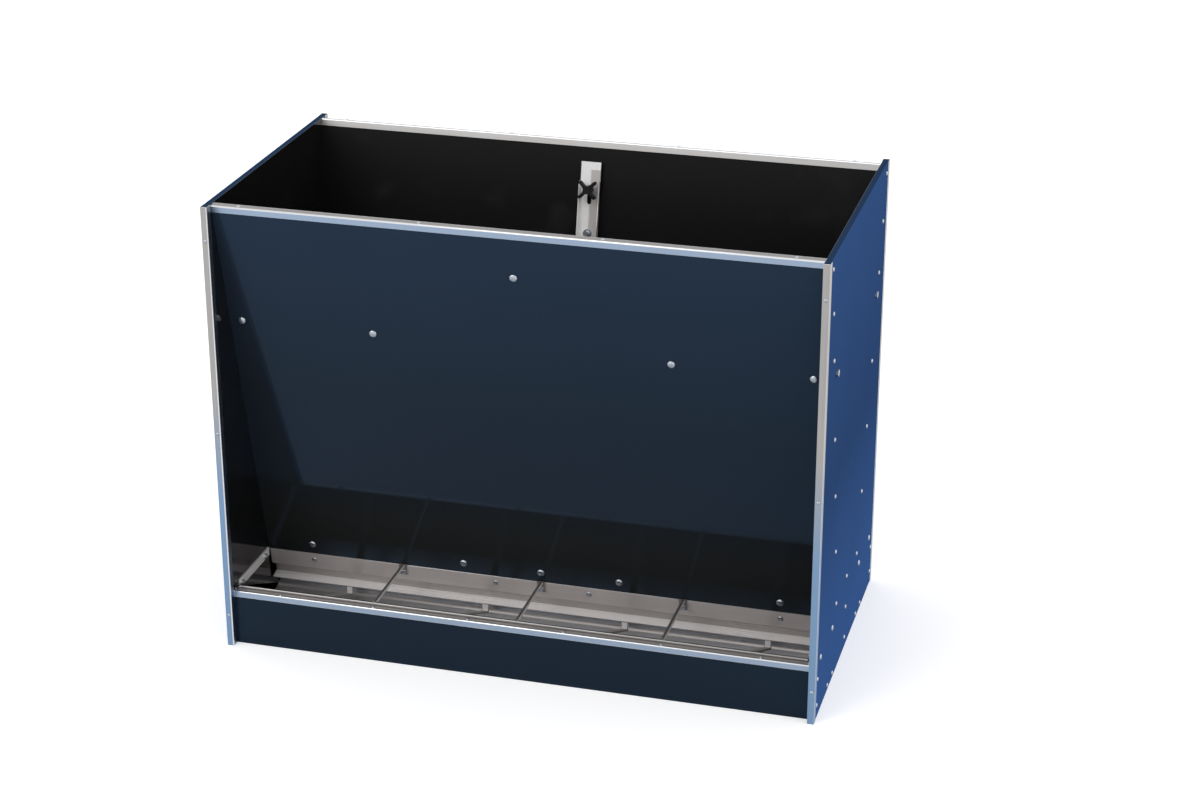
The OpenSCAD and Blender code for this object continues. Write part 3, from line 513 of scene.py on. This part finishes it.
# Each piece's own tone is partly painted light and shade. The end bars, adjusting gear and adjusting strip
# are near white and barely metallic as painted light. The rim and divider rods are dark as painted shade.
STEELS = {
    steel("trough_steel", DULL, 0.28, ALONG_X, metal=0.7, outward=SKY_REFLECTION_BLUE): ["trough"],
    steel("foot_strip_steel", (0.58, 0.54, 0.53), 0.42, ALONG_X, metal=0.4): ["foot_strip"],
    steel("gate_steel", (0.38, 0.355, 0.345), 0.26, ALONG_X, metal=0.3,
          upward=(1.0, 0.97, 0.96)): ["gate"],
    steel("strap_steel", (0.36, 0.34, 0.33), 0.5, ALONG_Y, metal=0.3,
          outward=(0.85, 0.83, 0.82)): ["gap_straps"],
    steel("edge_profile_steel", COOL, 0.3, ALONG_Z, low=LOW_REFLECTION_BLUE): EDGE_PROFILES,
    steel("top_profile_steel", PALE, 0.3, ALONG_X, outward=SKY_REFLECTION_BLUE,
          upward=(0.32, 0.31, 0.305)): ["top_profile", "stiffener"],
    steel("drawn_rod", (0.3, 0.29, 0.285), 0.25, ALONG_X, grain=0.25): ["rim_rod"],
    steel("divider_rod", (0.2, 0.185, 0.18), 0.3, ALONG_Y, grain=0.25, metal=0.5,
          flank=(0.95, 0.92, 0.9)): ["divider_rods"],
    steel("end_bar_steel", (0.92, 0.89, 0.88), 0.4, ALONG_Y, metal=0.3): ["end_bars"],
    steel("adjusting_gear_steel", (0.97, 0.95, 0.94), 0.3, ALONG_Z, metal=0.15): ["lift_bar"],
    steel("adjusting_strip_steel", (1.0, 0.98, 0.97), 0.3, ALONG_Z, grain=0.3, metal=0.12,
          half=(0.56, 0.53, 0.52)): ["adjusting_strip"],
}
# A painted highlight: a paler, glossier steel for the rounded folds and rims, where they catch the light.
fold_highlight = steel("painted_fold_highlight", (0.74, 0.75, 0.77), 0.2, ALONG_X, grain=0.2)
dress({material: both_sides(names) for material, names in STEELS.items()})
print("steel finishes:", len(STEELS))

# %% [markdown]
# Bolts, nuts and screws are zinc plated: brighter and a little bluer than the stainless steel, with a soft
# cloudy plating and no grain. On heads this small a mirrored floor would hardly show, so the faces that look
# down get painted shade, a darker tone. The knob is a black moulding with a fine spark-eroded grain, rubbed
# shiny in patches. Every node that has no finish by then is a fastener.

# %% Zinc plating and knob plastic
SPARK_DEPTH = 0.1 * MM
SHADE_BELOW_SPAN = (-0.45, 0.3)
MATT, SHINY = 0.5, 0.36


def zinc(name, tone, under, roughness):
    """Plated steel, with painted shade in a darker tone on the faces that look down."""
    material, tree, shader, place = blank_material(name)
    cloud = ramp(tree, noise(tree, place, scale=260.0, detail=4.0), 0.35, 0.7)
    plated = blend_colour(tree, cloud, colour(*tone), toned(tone, 0.78))
    normal = split(tree, add(tree, "ShaderNodeNewGeometry").outputs["Normal"])
    shaded = blend_colour(tree, ramp(tree, normal[2], *SHADE_BELOW_SPAN), colour(*under), plated)
    rough = ramp(tree, cloud, 0.0, 1.0, roughness, roughness * 1.5)
    fill(tree, shader, {"Base Color": shaded, "Roughness": rough, "Metallic": 1.0})
    return material


def moulded(name, tone):
    """Black plastic with the fine grain of its mould."""
    material, tree, shader, place = blank_material(name)
    rubbed = apply_effect(tree, scuff_effect, {"Place": place, "Scale": 90.0, "Cut": 0.56})["Mask"]
    base = blend_colour(tree, rubbed, colour(*tone), toned(tone, 1.9))
    sparks = noise(tree, place, scale=1400.0, detail=3.0)
    bump = bumped(tree, sparks, strength=0.25, distance=SPARK_DEPTH)
    fill(tree, shader, {"Base Color": base, "Roughness": ramp(tree, rubbed, 0.0, 1.0, MATT, SHINY),
                        "Normal": bump, "Specular IOR Level": 0.22})
    return material


# The second tone of the zinc is painted shade on the faces that look down.
zinc_plate = zinc("zinc_plate", (0.58, 0.62, 0.67), (0.19, 0.22, 0.27), 0.24)
knob_plastic = moulded("knob_plastic", (0.005, 0.005, 0.0055))
dress({knob_plastic: both_sides(["star_knob"])})
fasteners = [name for name in nodes if name not in dressed]
dress({zinc_plate: fasteners})
print("nodes of fasteners:", len(fasteners))

# %% [markdown]
# Every screw, bolt and nut already has a plain solid in the frame, so the finer ones take their seats and
# sizes from there. A node's solids are told apart by walking along their edges, and each solid is measured
# along the direction in which its head looks: where the head begins, how wide and high it is, and how long
# its shank.

# %% Seats of the fasteners
WELD = 0.01 * MM
RIM_SHARE = 0.99
FLATS_SHARE = math.cos(math.pi / 6)
SLANTED, UPRIGHT = (0.0, 0.6, -0.8), (0.0, 0.0, 1.0)


def welded(node):
    """A node's mesh with its doubled points merged."""
    work = bmesh.new()
    work.from_mesh(nodes[node].data)
    bmesh.ops.remove_doubles(work, verts=work.verts, dist=WELD)
    return work


def solids(node):
    """The separate solids of a node, each as an array of points, from left to right."""
    work = welded(node)
    found = []
    for first in work.verts:
        if first.tag:
            continue
        first.tag = True
        island, waiting = [], [first]
        while waiting:
            vert = waiting.pop()
            island.append(vert.co.copy())
            for edge in vert.link_edges:
                other = edge.other_vert(vert)
                if not other.tag:
                    other.tag = True
                    waiting.append(other)
        found.append(np.array(island))
    work.free()
    return sorted(found, key=lambda points: tuple(np.round(points.mean(0), 4)))


def facing(points, front):
    """A direction of the front half, or of the right side, as it looks on this solid."""
    x, y = (1 if mean > 0 else -1 for mean in points.mean(0)[:2] * (1, -1))
    if abs(front[0]) > 0.5:
        return np.array((front[0] * x, 0.0, 0.0))
    return np.array((0.0, front[1] * y, front[2]))


def measure(points, outward):
    """Axis, ends and radii of a round or hexagonal solid that looks outward."""
    side = np.cross(outward, SLANTED if abs(outward[0]) < 0.5 else UPRIGHT)
    side /= np.linalg.norm(side)
    sides = np.stack((side, np.cross(outward, side)))
    flat = points @ sides.T
    middle = (flat.max(0) + flat.min(0)) / 2
    radius = np.linalg.norm(flat - middle, axis=1)
    return middle @ sides, points @ outward, radius


def head_and_shank(points, outward):
    """Seat and sizes of a headed fastener."""
    axis, along, radius = measure(points, outward)
    foot = along[radius > RIM_SHARE * radius.max()].min()
    shank = radius[along < along.min() + WELD].max()
    sizes = {"Head Diameter": 2 * radius.max(), "Head Height": along.max() - foot,
             "Shank Diameter": 2 * shank, "Shank Length": foot - along.min()}
    return axis + outward * foot, sizes


def nut_sizes(points, outward):
    """Seat and sizes of a nut, with or without a collar under it."""
    axis, along, radius = measure(points, outward)
    foot, top = along.min(), along.max()
    corner = radius[along > top - WELD].max()
    rim = along[radius > RIM_SHARE * radius.max()].max()
    sizes = {"Across Flats": 2 * corner * FLATS_SHARE, "Height": top - foot, "Bore": 2 * radius.min(),
             "Collar Diameter": 0.0, "Collar Height": 0.0}
    if rim < top - WELD:
        sizes.update({"Collar Diameter": 2 * radius.max(), "Collar Height": rim - foot})
    return axis + outward * foot, sizes


print("screws in the side panels:", len(solids("side_panel_screws")))

# %% [markdown]
# Fasteners and weld drops are one shape set on many seats, which is what Geometry Nodes do best: a tree
# makes a single shape from named sizes and stands a copy on every seat. These are the few moves that all the
# trees share. The last one sets the copies out, each looking along its seat's stored direction, and turns it
# by chance, because no two screws are driven to the same angle.

# %% Moves for shape trees
GEOMETRY, SEED, FINISH = "NodeSocketGeometry", "NodeSocketInt", "NodeSocketMaterial"
FULL_TURN = 2 * math.pi


def shape_tree(name, sizes, switches=()):
    """A Geometry Nodes tree that takes seats, named sizes, switches, a seed and a finish."""
    wanted = [("Seats", GEOMETRY)] + [(label, FLOAT) for label in sizes]
    wanted += [(label, "NodeSocketBool") for label in switches]
    wanted += [("Seed", SEED), ("Finish", FINISH)]
    return group(name, wanted, [("Pieces", GEOMETRY)], "GeometryNodeTree")


def moved(tree, shape, place=(0, 0, 0), turn=(0, 0, 0), scale=(1, 1, 1)):
    sockets = {"Geometry": shape, "Translation": place, "Rotation": turn, "Scale": scale}
    return add(tree, "GeometryNodeTransform", sockets).outputs[0]


def joined(tree, *shapes):
    node = add(tree, "GeometryNodeJoinGeometry")
    for shape in shapes:
        tree.links.new(shape, node.inputs[0])
    return node.outputs[0]


def carved(tree, operation, first, *others):
    """A solid cut by, met with or joined to others."""
    node = add(tree, "GeometryNodeMeshBoolean", operation=operation, solver="EXACT")
    if operation == "DIFFERENCE":
        tree.links.new(first, node.inputs["Mesh 1"])
    else:
        others = (first, *others)
    for other in others:
        tree.links.new(other, node.inputs["Mesh 2"])
    return node.outputs[0]


def rod(tree, diameter, low, length, sides):
    """A closed cylinder on the Z axis that starts at the height low."""
    sizes = {"Vertices": sides, "Radius": times(tree, diameter, 0.5), "Depth": length}
    middle = vector_of(tree, z=plus(tree, low, times(tree, length, 0.5)))
    return moved(tree, add(tree, "GeometryNodeMeshCylinder", sizes).outputs[0], middle)


def ball(tree, segments, rings, radius=1.0):
    sizes = {"Segments": segments, "Rings": rings, "Radius": radius}
    return add(tree, "GeometryNodeMeshUVSphere", sizes).outputs[0]


def merged(tree, shape):
    return add(tree, "GeometryNodeMergeByDistance", {0: shape, "Distance": WELD}).outputs[0]


def chosen(tree, switch, without, with_it):
    inputs = {"Switch": switch, "False": without, "True": with_it}
    return add(tree, "GeometryNodeSwitch", inputs, input_type="GEOMETRY").outputs[0]


def smoothed(tree, shape, crease):
    """Smooth shading, with a hard edge where two faces meet at more than the crease angle."""
    soft = add(tree, "GeometryNodeSetShadeSmooth", {0: shape, "Shade Smooth": True}).outputs[0]
    angle = add(tree, "GeometryNodeInputMeshEdgeAngle").outputs[0]
    bent = math_node(tree, "GREATER_THAN", angle, crease)
    hard = {0: soft, "Selection": bent, "Shade Smooth": False}
    return add(tree, "GeometryNodeSetShadeSmooth", hard, domain="EDGE").outputs[0]


def set_out(tree, given, result, shape):
    """Stands a copy on every seat, turned by chance about its own axis, and gives it its finish."""
    stored = {"Name": "outward"}
    outward = add(tree, "GeometryNodeInputNamedAttribute", stored, data_type="FLOAT_VECTOR").outputs[0]
    stand = add(tree, "FunctionNodeAlignRotationToVector", {"Vector": outward}, axis="Z").outputs[0]
    any_turn = {2: 0.0, 3: FULL_TURN, "Seed": given["Seed"]}
    chance = add(tree, "FunctionNodeRandomValue", any_turn, data_type="FLOAT").outputs[1]
    about_axis = {"Axis": (0, 0, 1), "Angle": chance}
    spin = add(tree, "FunctionNodeAxisAngleToRotation", about_axis).outputs[0]
    turned = add(tree, "FunctionNodeRotateRotation", {0: stand, 1: spin}, rotation_space="LOCAL").outputs[0]
    copies = {"Points": given["Seats"], "Instance": shape, "Rotation": turned}
    copies = add(tree, "GeometryNodeInstanceOnPoints", copies).outputs[0]
    real = add(tree, "GeometryNodeRealizeInstances", {0: copies}).outputs[0]
    painted = {"Geometry": real, "Material": given["Finish"]}
    fill(tree, result, {"Pieces": add(tree, "GeometryNodeSetMaterial", painted).outputs[0]})


# %% [markdown]
# A screw's head is a ball squared off into a pan and cut flat below, with a tapered cross cut into it, over
# a plain shank. A carriage bolt is the same without the cross, so one tree with a switch makes both. Shares
# are of the head's diameter or height.

# %% Tree for screws and carriage bolts
HEAD_SIZES = ["Head Diameter", "Head Height", "Shank Diameter", "Shank Length"]
CREASE = math.radians(38)
SQUARING, CROWNING, LEAST_RIM = -0.35, 0.8, 0.001
CROSS_TOP, CROSS_FOOT, CROSS_LIFT = 0.44, 0.16, 0.42
WINGS = ((1, 0.3, 1), (0.3, 1, 1))
NECK_SHARE = 0.25
domed_tree, given, result = shape_tree("domed_fastener", HEAD_SIZES, ["Cross"])
tree = domed_tree
width, height = given["Head Diameter"], given["Head Height"]
x, y, z = split(tree, add(tree, "GeometryNodeInputPosition").outputs[0])
squares = [math_node(tree, "POWER", side, 2.0) for side in (x, y)]
rim = math_node(tree, "SQRT", plus(tree, *squares))
rim = math_node(tree, "MAXIMUM", rim, LEAST_RIM)
squared = math_node(tree, "POWER", rim, SQUARING)
spread = times(tree, squared, times(tree, width, 0.5))
crown = math_node(tree, "POWER", math_node(tree, "MAXIMUM", z, 0.0), CROWNING)
pan = [times(tree, x, spread), times(tree, y, spread), times(tree, crown, height)]
pan = {"Geometry": ball(tree, 24, 12), "Position": vector_of(tree, *pan)}
head = merged(tree, add(tree, "GeometryNodeSetPosition", pan).outputs[0])
wing = {"Vertices": 4, "Depth": height, "Radius Top": times(tree, width, CROSS_TOP),
        "Radius Bottom": times(tree, width, CROSS_FOOT)}
wing = add(tree, "GeometryNodeMeshCone", wing).outputs[0]
wing = moved(tree, wing, turn=(0, 0, math.pi / 4))
lift = vector_of(tree, z=times(tree, height, CROSS_LIFT))
cross = [moved(tree, wing, lift, scale=scale) for scale in WINGS]
head = chosen(tree, given["Cross"], head, carved(tree, "DIFFERENCE", head, *cross))
under = times(tree, given["Shank Length"], -1.0)
length = plus(tree, given["Shank Length"], times(tree, height, NECK_SHARE))
shank = rod(tree, given["Shank Diameter"], under, length, 16)
set_out(tree, given, result, smoothed(tree, joined(tree, head, shank), CREASE))
print("tree:", domed_tree.name, "with", len(domed_tree.nodes), "nodes")

# %% [markdown]
# Nuts and hexagon heads share a second tree. A six-sided prism that meets a flattened ball gets the curved
# chamfers that a turned nut has on its corners. A collar, a bore and a shank are added where the sizes ask
# for them. The cuts leave slivers at the bore, so points that fall together are merged at the end.

# %% Tree for nuts and hexagon bolts
NUT_SIZES = ["Across Flats", "Height", "Bore", "Collar Diameter", "Collar Height"] + HEAD_SIZES[2:]
CHAMFER_REACH, CHAMFER_RISE = 0.668, 0.736
nut_tree, given, result = shape_tree("hexagon_fastener", NUT_SIZES)
tree = nut_tree
flats, height = given["Across Flats"], given["Height"]
half_height = times(tree, height, 0.5)


def where_present(tree, size, without, with_it):
    return chosen(tree, math_node(tree, "GREATER_THAN", size, WELD), without, with_it)


prism = rod(tree, math_node(tree, "DIVIDE", flats, FLATS_SHARE), 0.0, height, 6)
reach = times(tree, flats, CHAMFER_REACH)
oval = vector_of(tree, reach, reach, times(tree, height, CHAMFER_RISE))
chamfers = moved(tree, ball(tree, 48, 24), vector_of(tree, z=half_height), scale=oval)
body = carved(tree, "INTERSECT", prism, chamfers)
collar = rod(tree, given["Collar Diameter"], 0.0, given["Collar Height"], 40)
body = where_present(tree, given["Collar Height"], body, carved(tree, "UNION", body, collar))
drill = rod(tree, given["Bore"], times(tree, height, -0.5), times(tree, height, 2.0), 24)
body = where_present(tree, given["Bore"], body, carved(tree, "DIFFERENCE", body, drill))
under = times(tree, given["Shank Length"], -1.0)
length = plus(tree, given["Shank Length"], half_height)
shank = rod(tree, given["Shank Diameter"], under, length, 20)
body = where_present(tree, given["Shank Length"], body, joined(tree, body, shank))
set_out(tree, given, result, smoothed(tree, merged(tree, body), CREASE))
print("tree:", nut_tree.name, "with", len(nut_tree.nodes), "nodes")

# %% [markdown]
# A tree runs over a mesh of bare points, one for each seat, that carry their directions. The result is
# turned into a plain mesh, so no modifier is left. Meshes that belong to one node become one piece, which
# rides where the node rides and may stand in for it.

# %% From seats to pieces
def as_mesh(work, name):
    mesh = bpy.data.meshes.new(name)
    work.to_mesh(mesh)
    work.free()
    return mesh


def plain_mesh(holder):
    """The mesh that an object's modifiers make. The object itself is taken away."""
    evaluated = holder.evaluated_get(bpy.context.evaluated_depsgraph_get())
    mesh = bpy.data.meshes.new_from_object(evaluated)
    bpy.data.objects.remove(holder)
    return mesh


def grown(name, tree, seats, sizes, finish, seed):
    """Runs a tree over its seats and gives back the result as a plain mesh."""
    mesh = bpy.data.meshes.new(name)
    mesh.from_pydata([tuple(place) for place, outward in seats], [], [])
    stored = mesh.attributes.new("outward", "FLOAT_VECTOR", "POINT")
    directions = np.array([outward for place, outward in seats], dtype=np.float32)
    stored.data.foreach_set("vector", directions.ravel())
    holder = placed(name, mesh)
    modifier = holder.modifiers.new("set_out", "NODES")
    modifier.node_group = tree
    values = {**sizes, "Seed": seed, "Finish": finish}
    for socket in tree.interface.items_tree:
        if socket.in_out == "INPUT" and socket.name in values:
            modifier[socket.identifier] = values[socket.name]
    return plain_mesh(holder)


def one_piece(name, meshes, node, finishes, stands_in=True):
    """Joins meshes into one piece that rides with a node of the frame and may stand in for it."""
    work = bmesh.new()
    for mesh in meshes:
        work.from_mesh(mesh)
    if len(finishes) == 1:
        for face in work.faces:
            face.material_index = 0
    joined_mesh = as_mesh(work, name)
    for finish in finishes:
        joined_mesh.materials.append(finish)
    piece = placed(name, joined_mesh)
    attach(piece, nodes[node]["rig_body"])
    if stands_in:
        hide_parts(node)
    return piece


# %% [markdown]
# Each row below names a node of the frame and the direction in which its heads look on the front half or on
# the right. Seats of one size go through the tree together. A nut may also lie across its row's direction,
# so it is measured both ways and looks along the way in which it is thinner.

# %% Screws, bolts and nuts on their seats
OUT, BACK, AHEAD = (1, 0, 0), (-1, 0, 0), (0, -1, 0)
face_out, face_in = tuple(-inward), tuple(inward)
CROSSED = {
    "side_panel_screws": OUT, "end_bar_bolts": OUT, "edge_profile_screws": AHEAD,
    "top_profile_screws": tuple(up_slope), "trough_lip_screws": (0, 0, 1), "foot_strip_screws": face_out}
CARRIAGE_BOLTS = ["guide_bolts", "stiffener_bolts"] + both_sides(["clamp_stud"]) + both_sides(["strip_bolts"])
DOMED = dict.fromkeys(CARRIAGE_BOLTS, face_out)
NUTS = dict.fromkeys(["guide_nuts", "clamp_collar_nuts"] + both_sides(["gate_nuts"]), face_in)
NUTS.update({"end_bar_nuts": BACK, "stiffener_nuts": face_in})


def fasten(rows, tree, sizing, seed, **switches):
    """Makes the finer fasteners of every node named in the rows."""
    for node, front in rows.items():
        by_size = {}
        for points in solids(node):
            spans = {way: np.ptp(points @ facing(points, way)) for way in (front, BACK)}
            way = min(spans, key=spans.get) if sizing is nut_sizes else front
            outward = facing(points, way)
            place, sizes = sizing(points, outward)
            key = tuple(round(size, 5) for size in sizes.values())
            by_size.setdefault(key, (sizes, []))[1].append((place, outward))
        meshes = [grown(node + "_seats", tree, seats, {**sizes, **switches}, zinc_plate, seed + i)
                  for i, (sizes, seats) in enumerate(by_size.values())]
        piece = one_piece("fine_" + node, meshes, node, [zinc_plate])
        count = sum(len(seats) for sizes, seats in by_size.values())
        print(piece.name, count, "pieces,", len(piece.data.polygons), "faces")


def bolt_with_hexagon_head(points, outward):
    place, sizes = head_and_shank(points, outward)
    flats = sizes.pop("Head Diameter") * FLATS_SHARE
    return place, {"Across Flats": flats, "Height": sizes.pop("Head Height"), **sizes}


fasten(CROSSED, domed_tree, head_and_shank, seed=11, Cross=True)
fasten(DOMED, domed_tree, head_and_shank, seed=23, Cross=False)
fasten(NUTS, nut_tree, nut_sizes, seed=37)
fasten({"stiffener_end_bolts": OUT}, nut_tree, bolt_with_hexagon_head, seed=41)

# %% [markdown]
# Sheet bent on a brake has no sharp corner: the outside of each fold is a small round that catches the light
# as a thin bright line, and the cut rims are slightly broken. A Bevel modifier does both on a merged copy of
# the node. Each edge carries a weight: a full one on a fold, a small one on a rim, none where the sheet is
# flat or hollow. On the trough, foot strip, top and edge profiles and adjusting strip the rounds also get a
# paler, glossier steel: a painted highlight.

# %% Soft folds and rims
FOLD_ROUND = 2.5 * MM
RIM_WEIGHT = 0.14
RIM_WIDTH = 5 * MM
RIM_LENGTH = 9 * MM
FLAT_ANGLE, BENT_ANGLE = math.radians(1), math.radians(25)
ROUND_STEPS = 3
HIGHLIT_SHEETS = ["trough", "foot_strip", "top_profile", *EDGE_PROFILES, "adjusting_strip"]
PLAIN = ["gate", "stiffener", "end_bars", "gap_straps", "lift_bar"]


def width_beside(edge, face):
    """How wide a face is, measured square to one of its edges."""
    return face.calc_area() / edge.calc_length()


def soft_sheet(node, highlighted):
    """A merged copy of a node with rounded folds and rims, which carry a painted highlight on the pieces that
    ask for it.
    """
    work = welded(node)
    bmesh.ops.dissolve_limit(work, angle_limit=FLAT_ANGLE, verts=work.verts, edges=work.edges)
    weight = work.edges.layers.float.new("bevel_weight_edge")
    for edge in work.edges:
        bent = len(edge.link_faces) == 2 and edge.calc_face_angle_signed(0.0) > BENT_ANGLE
        if bent and edge.calc_length() > RIM_LENGTH:
            narrow = min(width_beside(edge, face) for face in edge.link_faces)
            edge[weight] = RIM_WEIGHT if narrow < RIM_WIDTH else 1.0
    mesh = as_mesh(work, node + "_soft")
    holder = placed(node + "_soft", mesh)
    plain = nodes[node].data.materials[0]
    finishes = [plain, fold_highlight if highlighted else plain]
    for finish in finishes:
        mesh.materials.append(finish)
    bevel = holder.modifiers.new("soft", "BEVEL")
    bevel.limit_method = "WEIGHT"
    bevel.width = FOLD_ROUND
    bevel.segments = ROUND_STEPS
    bevel.use_clamp_overlap = False
    bevel.material = 1
    soft = plain_mesh(holder)
    for face in soft.polygons:
        face.use_smooth = face.material_index == 1
    return one_piece("fine_" + node, [soft], node, finishes)


for side in FRONT_REAR:
    for name in HIGHLIT_SHEETS + PLAIN:
        sheet = soft_sheet(side + name, name in HIGHLIT_SHEETS)
        print(sheet.name, len(sheet.data.polygons), "faces")

# %% [markdown]
# The divider rods are welded to the rim rod in front and to their tabs behind, and the gap straps to the
# trough's wall. A weld is a row of small drops laid one over the other, so a third tree makes one drop and
# sets it out along each seam. The seams are found from the pieces that they join: the corner beside the rod,
# the short arcs under the rod on its tab, and the line where a strap leaves the wall.

# %% Weld beads
DROP, DROP_STEP = 1.5 * MM, 1.5 * MM
DROP_SHAPE, DROP_CREASE = (1.0, 0.85, 0.6), math.radians(80)
OFF_SEAM = 0.2 * DROP
TAB_ARC, ARC_DROPS = math.radians(50), 4
EVEN_GRAIN = (300, 300, 300)
bead_tree, given, result = shape_tree("weld_bead", ["Drop"])
drop = moved(bead_tree, ball(bead_tree, 10, 6, given["Drop"]), scale=DROP_SHAPE)
set_out(bead_tree, given, result, smoothed(bead_tree, drop, DROP_CREASE))
weld_steel = steel("weld_bead_steel", (0.34, 0.31, 0.29), 0.4, EVEN_GRAIN, grain=0.6)


def seam(start, end, outward):
    """Seats along a straight seam."""
    start, end = np.array(start), np.array(end)
    count = max(2, round(np.linalg.norm(end - start) / DROP_STEP) + 1)
    return [(start + (end - start) * i / (count - 1), outward) for i in range(count)]


def tab_plane(x, y):
    """Direction and distance of the tab's face under the foot strip screw nearest to a divider rod."""
    screws = [points for points in solids("foot_strip_screws") if points[:, 1].mean() * y > 0]
    nearest = min(screws, key=lambda points: abs(points[:, 0].mean() - x))
    outward = facing(nearest, face_out)
    return outward, head_and_shank(nearest, outward)[0] @ outward


def rod_welds(side):
    """Seats beside the divider rods, at the rim rod and on the tabs."""
    rim_low, rim_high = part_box(side + "rim_rod")
    behind = min(abs(rim_low.y), abs(rim_high.y)) - OFF_SEAM
    way = 1 if rim_low.y > 0 else -1
    seats = []
    for points in solids(side + "divider_rods"):
        x, top = (points[:, 0].min() + points[:, 0].max()) / 2, points[:, 2].max()
        radius = (top - rim_low.z) / 2 + OFF_SEAM
        for turn in (-1, 1):
            spot = (x + turn * radius, way * behind)
            seats += seam((*spot, rim_low.z + DROP), (*spot, rim_high.z), (turn, -way, 0))
        outward, distance = tab_plane(x, way)
        for turn in (-1, 1):
            for step in range(ARC_DROPS):
                angle = TAB_ARC * step / (ARC_DROPS - 1)
                height = top - radius - radius * math.sin(angle)
                y = (distance + OFF_SEAM - outward[2] * height) / outward[1]
                spot = (x + turn * radius * math.cos(angle), y, height)
                seats.append((np.array(spot), outward))
    return seats


def strap_welds(side):
    """Seats along the upper edge of every gap strap."""
    seats = []
    for points in solids(side + "gap_straps"):
        top = points[:, 2].max()
        y = points[points[:, 2] > top - WELD][:, 1].mean()
        way = math.copysign(1, y)
        ends = [(x, y - way * 2 * OFF_SEAM, top) for x in (points[:, 0].min(), points[:, 0].max())]
        seats += seam(*ends, (0, -way, 1))
    return seats


for side in FRONT_REAR:
    seats = rod_welds(side) + strap_welds(side)
    mesh = grown(side + "weld_seats", bead_tree, seats, {"Drop": DROP}, weld_steel, seed=53)
    welds = one_piece(
        side + "weld_beads", [mesh], side + "trough", [weld_steel], stands_in=False)
    print(welds.name, len(seats), "drops,", len(welds.data.polygons), "faces")

# %% [markdown]
# The star knob is a black moulding with four slim arms that flow into a small hub. Cut from blocks it would
# show hard corners, so its outline is worked out instead: four rounded bars and a disc, melted together. The
# same outline, drawn in a little at a time, gives the rounded edges of every layer from the neck to the top.

# %% Star knobs
KNOB_STEPS = 120
MELT = 5.0 * MM
ARM_HALF, ARM_TAPER = 3.4 * MM, 0.18
ARM_SHARE, HUB_SHARE = 0.9, 0.32
EDGE_ROUND, FOOT_ROUND, NECK_FLARE, DISH = 1.6 * MM, 0.5 * MM, 0.8 * MM, 0.3 * MM
HALVINGS = 24


def knob_gap(radius, angle, reach):
    """Distance of a point from the knob's outline, negative inside."""
    turn = (angle + math.pi / 4) % (math.pi / 2) - math.pi / 4
    x, y = radius * math.cos(turn), radius * math.sin(turn)
    end = reach - ARM_HALF
    arm = math.hypot(max(0.0, x - end), y) - ARM_HALF * (1 - ARM_TAPER + ARM_TAPER * min(1.0, x / end))
    hub = radius - reach * HUB_SHARE
    overlap = max(0.0, MELT - abs(arm - hub)) / MELT
    return min(arm, hub) - overlap * overlap * MELT / 4


def outline_radius(angle, reach, inset):
    """How far out the outline lies in one direction, drawn in by the inset."""
    low, high = 0.0, reach
    for _ in range(HALVINGS):
        middle = (low + high) / 2
        low, high = (middle, high) if knob_gap(middle, angle, reach) < -inset else (low, middle)
    return low


def drawn_in(share):
    """How far the outline is drawn in at a share of the edge's round."""
    return EDGE_ROUND * (1 - math.sqrt(1 - (1 - share) ** 2))


def knob_layers(points, outward):
    """Axis, reach and layers of a knob. A layer is its height, its widest radius and the outline's inset."""
    axis, along, radius = measure(points, outward)
    reach = radius.max()
    foot, top = along.min(), along.max()
    arms = along[radius > ARM_SHARE * reach].min()
    neck = radius[along < foot + WELD].max()
    layers = [(foot, neck - FOOT_ROUND, None), (foot + FOOT_ROUND, neck, None)]
    layers += [(arms, neck + NECK_FLARE, EDGE_ROUND)]
    layers += [(arms + EDGE_ROUND * share, reach, drawn_in(share)) for share in (0.0, 0.15, 0.45, 1.0)]
    layers += [(top - EDGE_ROUND * share, reach, drawn_in(share)) for share in (1.0, 0.6, 0.3, 0.1, 0.0)]
    return Vector(axis), reach, layers + [(top - DISH, reach, 2 * EDGE_ROUND)]


def star_knob(node):
    """Skins the layers of a knob from foot to top and closes both ends."""
    points = solids(node)[0]
    outward = facing(points, face_in)
    axis, reach, layers = knob_layers(points, outward)
    rise, start = Vector(outward), Vector((1, 0, 0))
    across = Vector(np.cross(outward, start)).normalized()
    work = bmesh.new()
    rings = []
    for height, widest, inset in layers:
        ring = []
        for i in range(KNOB_STEPS):
            angle = FULL_TURN * i / KNOB_STEPS
            out = widest
            if inset is not None:
                out = min(widest, outline_radius(angle + math.pi / 4, reach, inset))
            spoke = start * math.cos(angle) + across * math.sin(angle)
            ring.append(work.verts.new(axis + rise * height + spoke * out))
        rings.append(ring)
    for below, above in zip(rings, rings[1:]):
        for i in range(KNOB_STEPS):
            j = (i + 1) % KNOB_STEPS
            work.faces.new((below[i], below[j], above[j], above[i]))
    for ring, height in ((rings[0], layers[0][0]), (rings[-1], layers[-1][0] - DISH)):
        pole = work.verts.new(axis + rise * height)
        for i in range(KNOB_STEPS):
            work.faces.new((ring[i], ring[(i + 1) % KNOB_STEPS], pole))
    bmesh.ops.recalc_face_normals(work, faces=work.faces)
    for face in work.faces:
        face.smooth = True
    mesh = as_mesh(work, node + "_skin")
    return one_piece("fine_" + node, [mesh], node, [knob_plastic])


for side in FRONT_REAR:
    knob = star_knob(side + "star_knob")
    print(knob.name, len(knob.data.polygons), "faces")
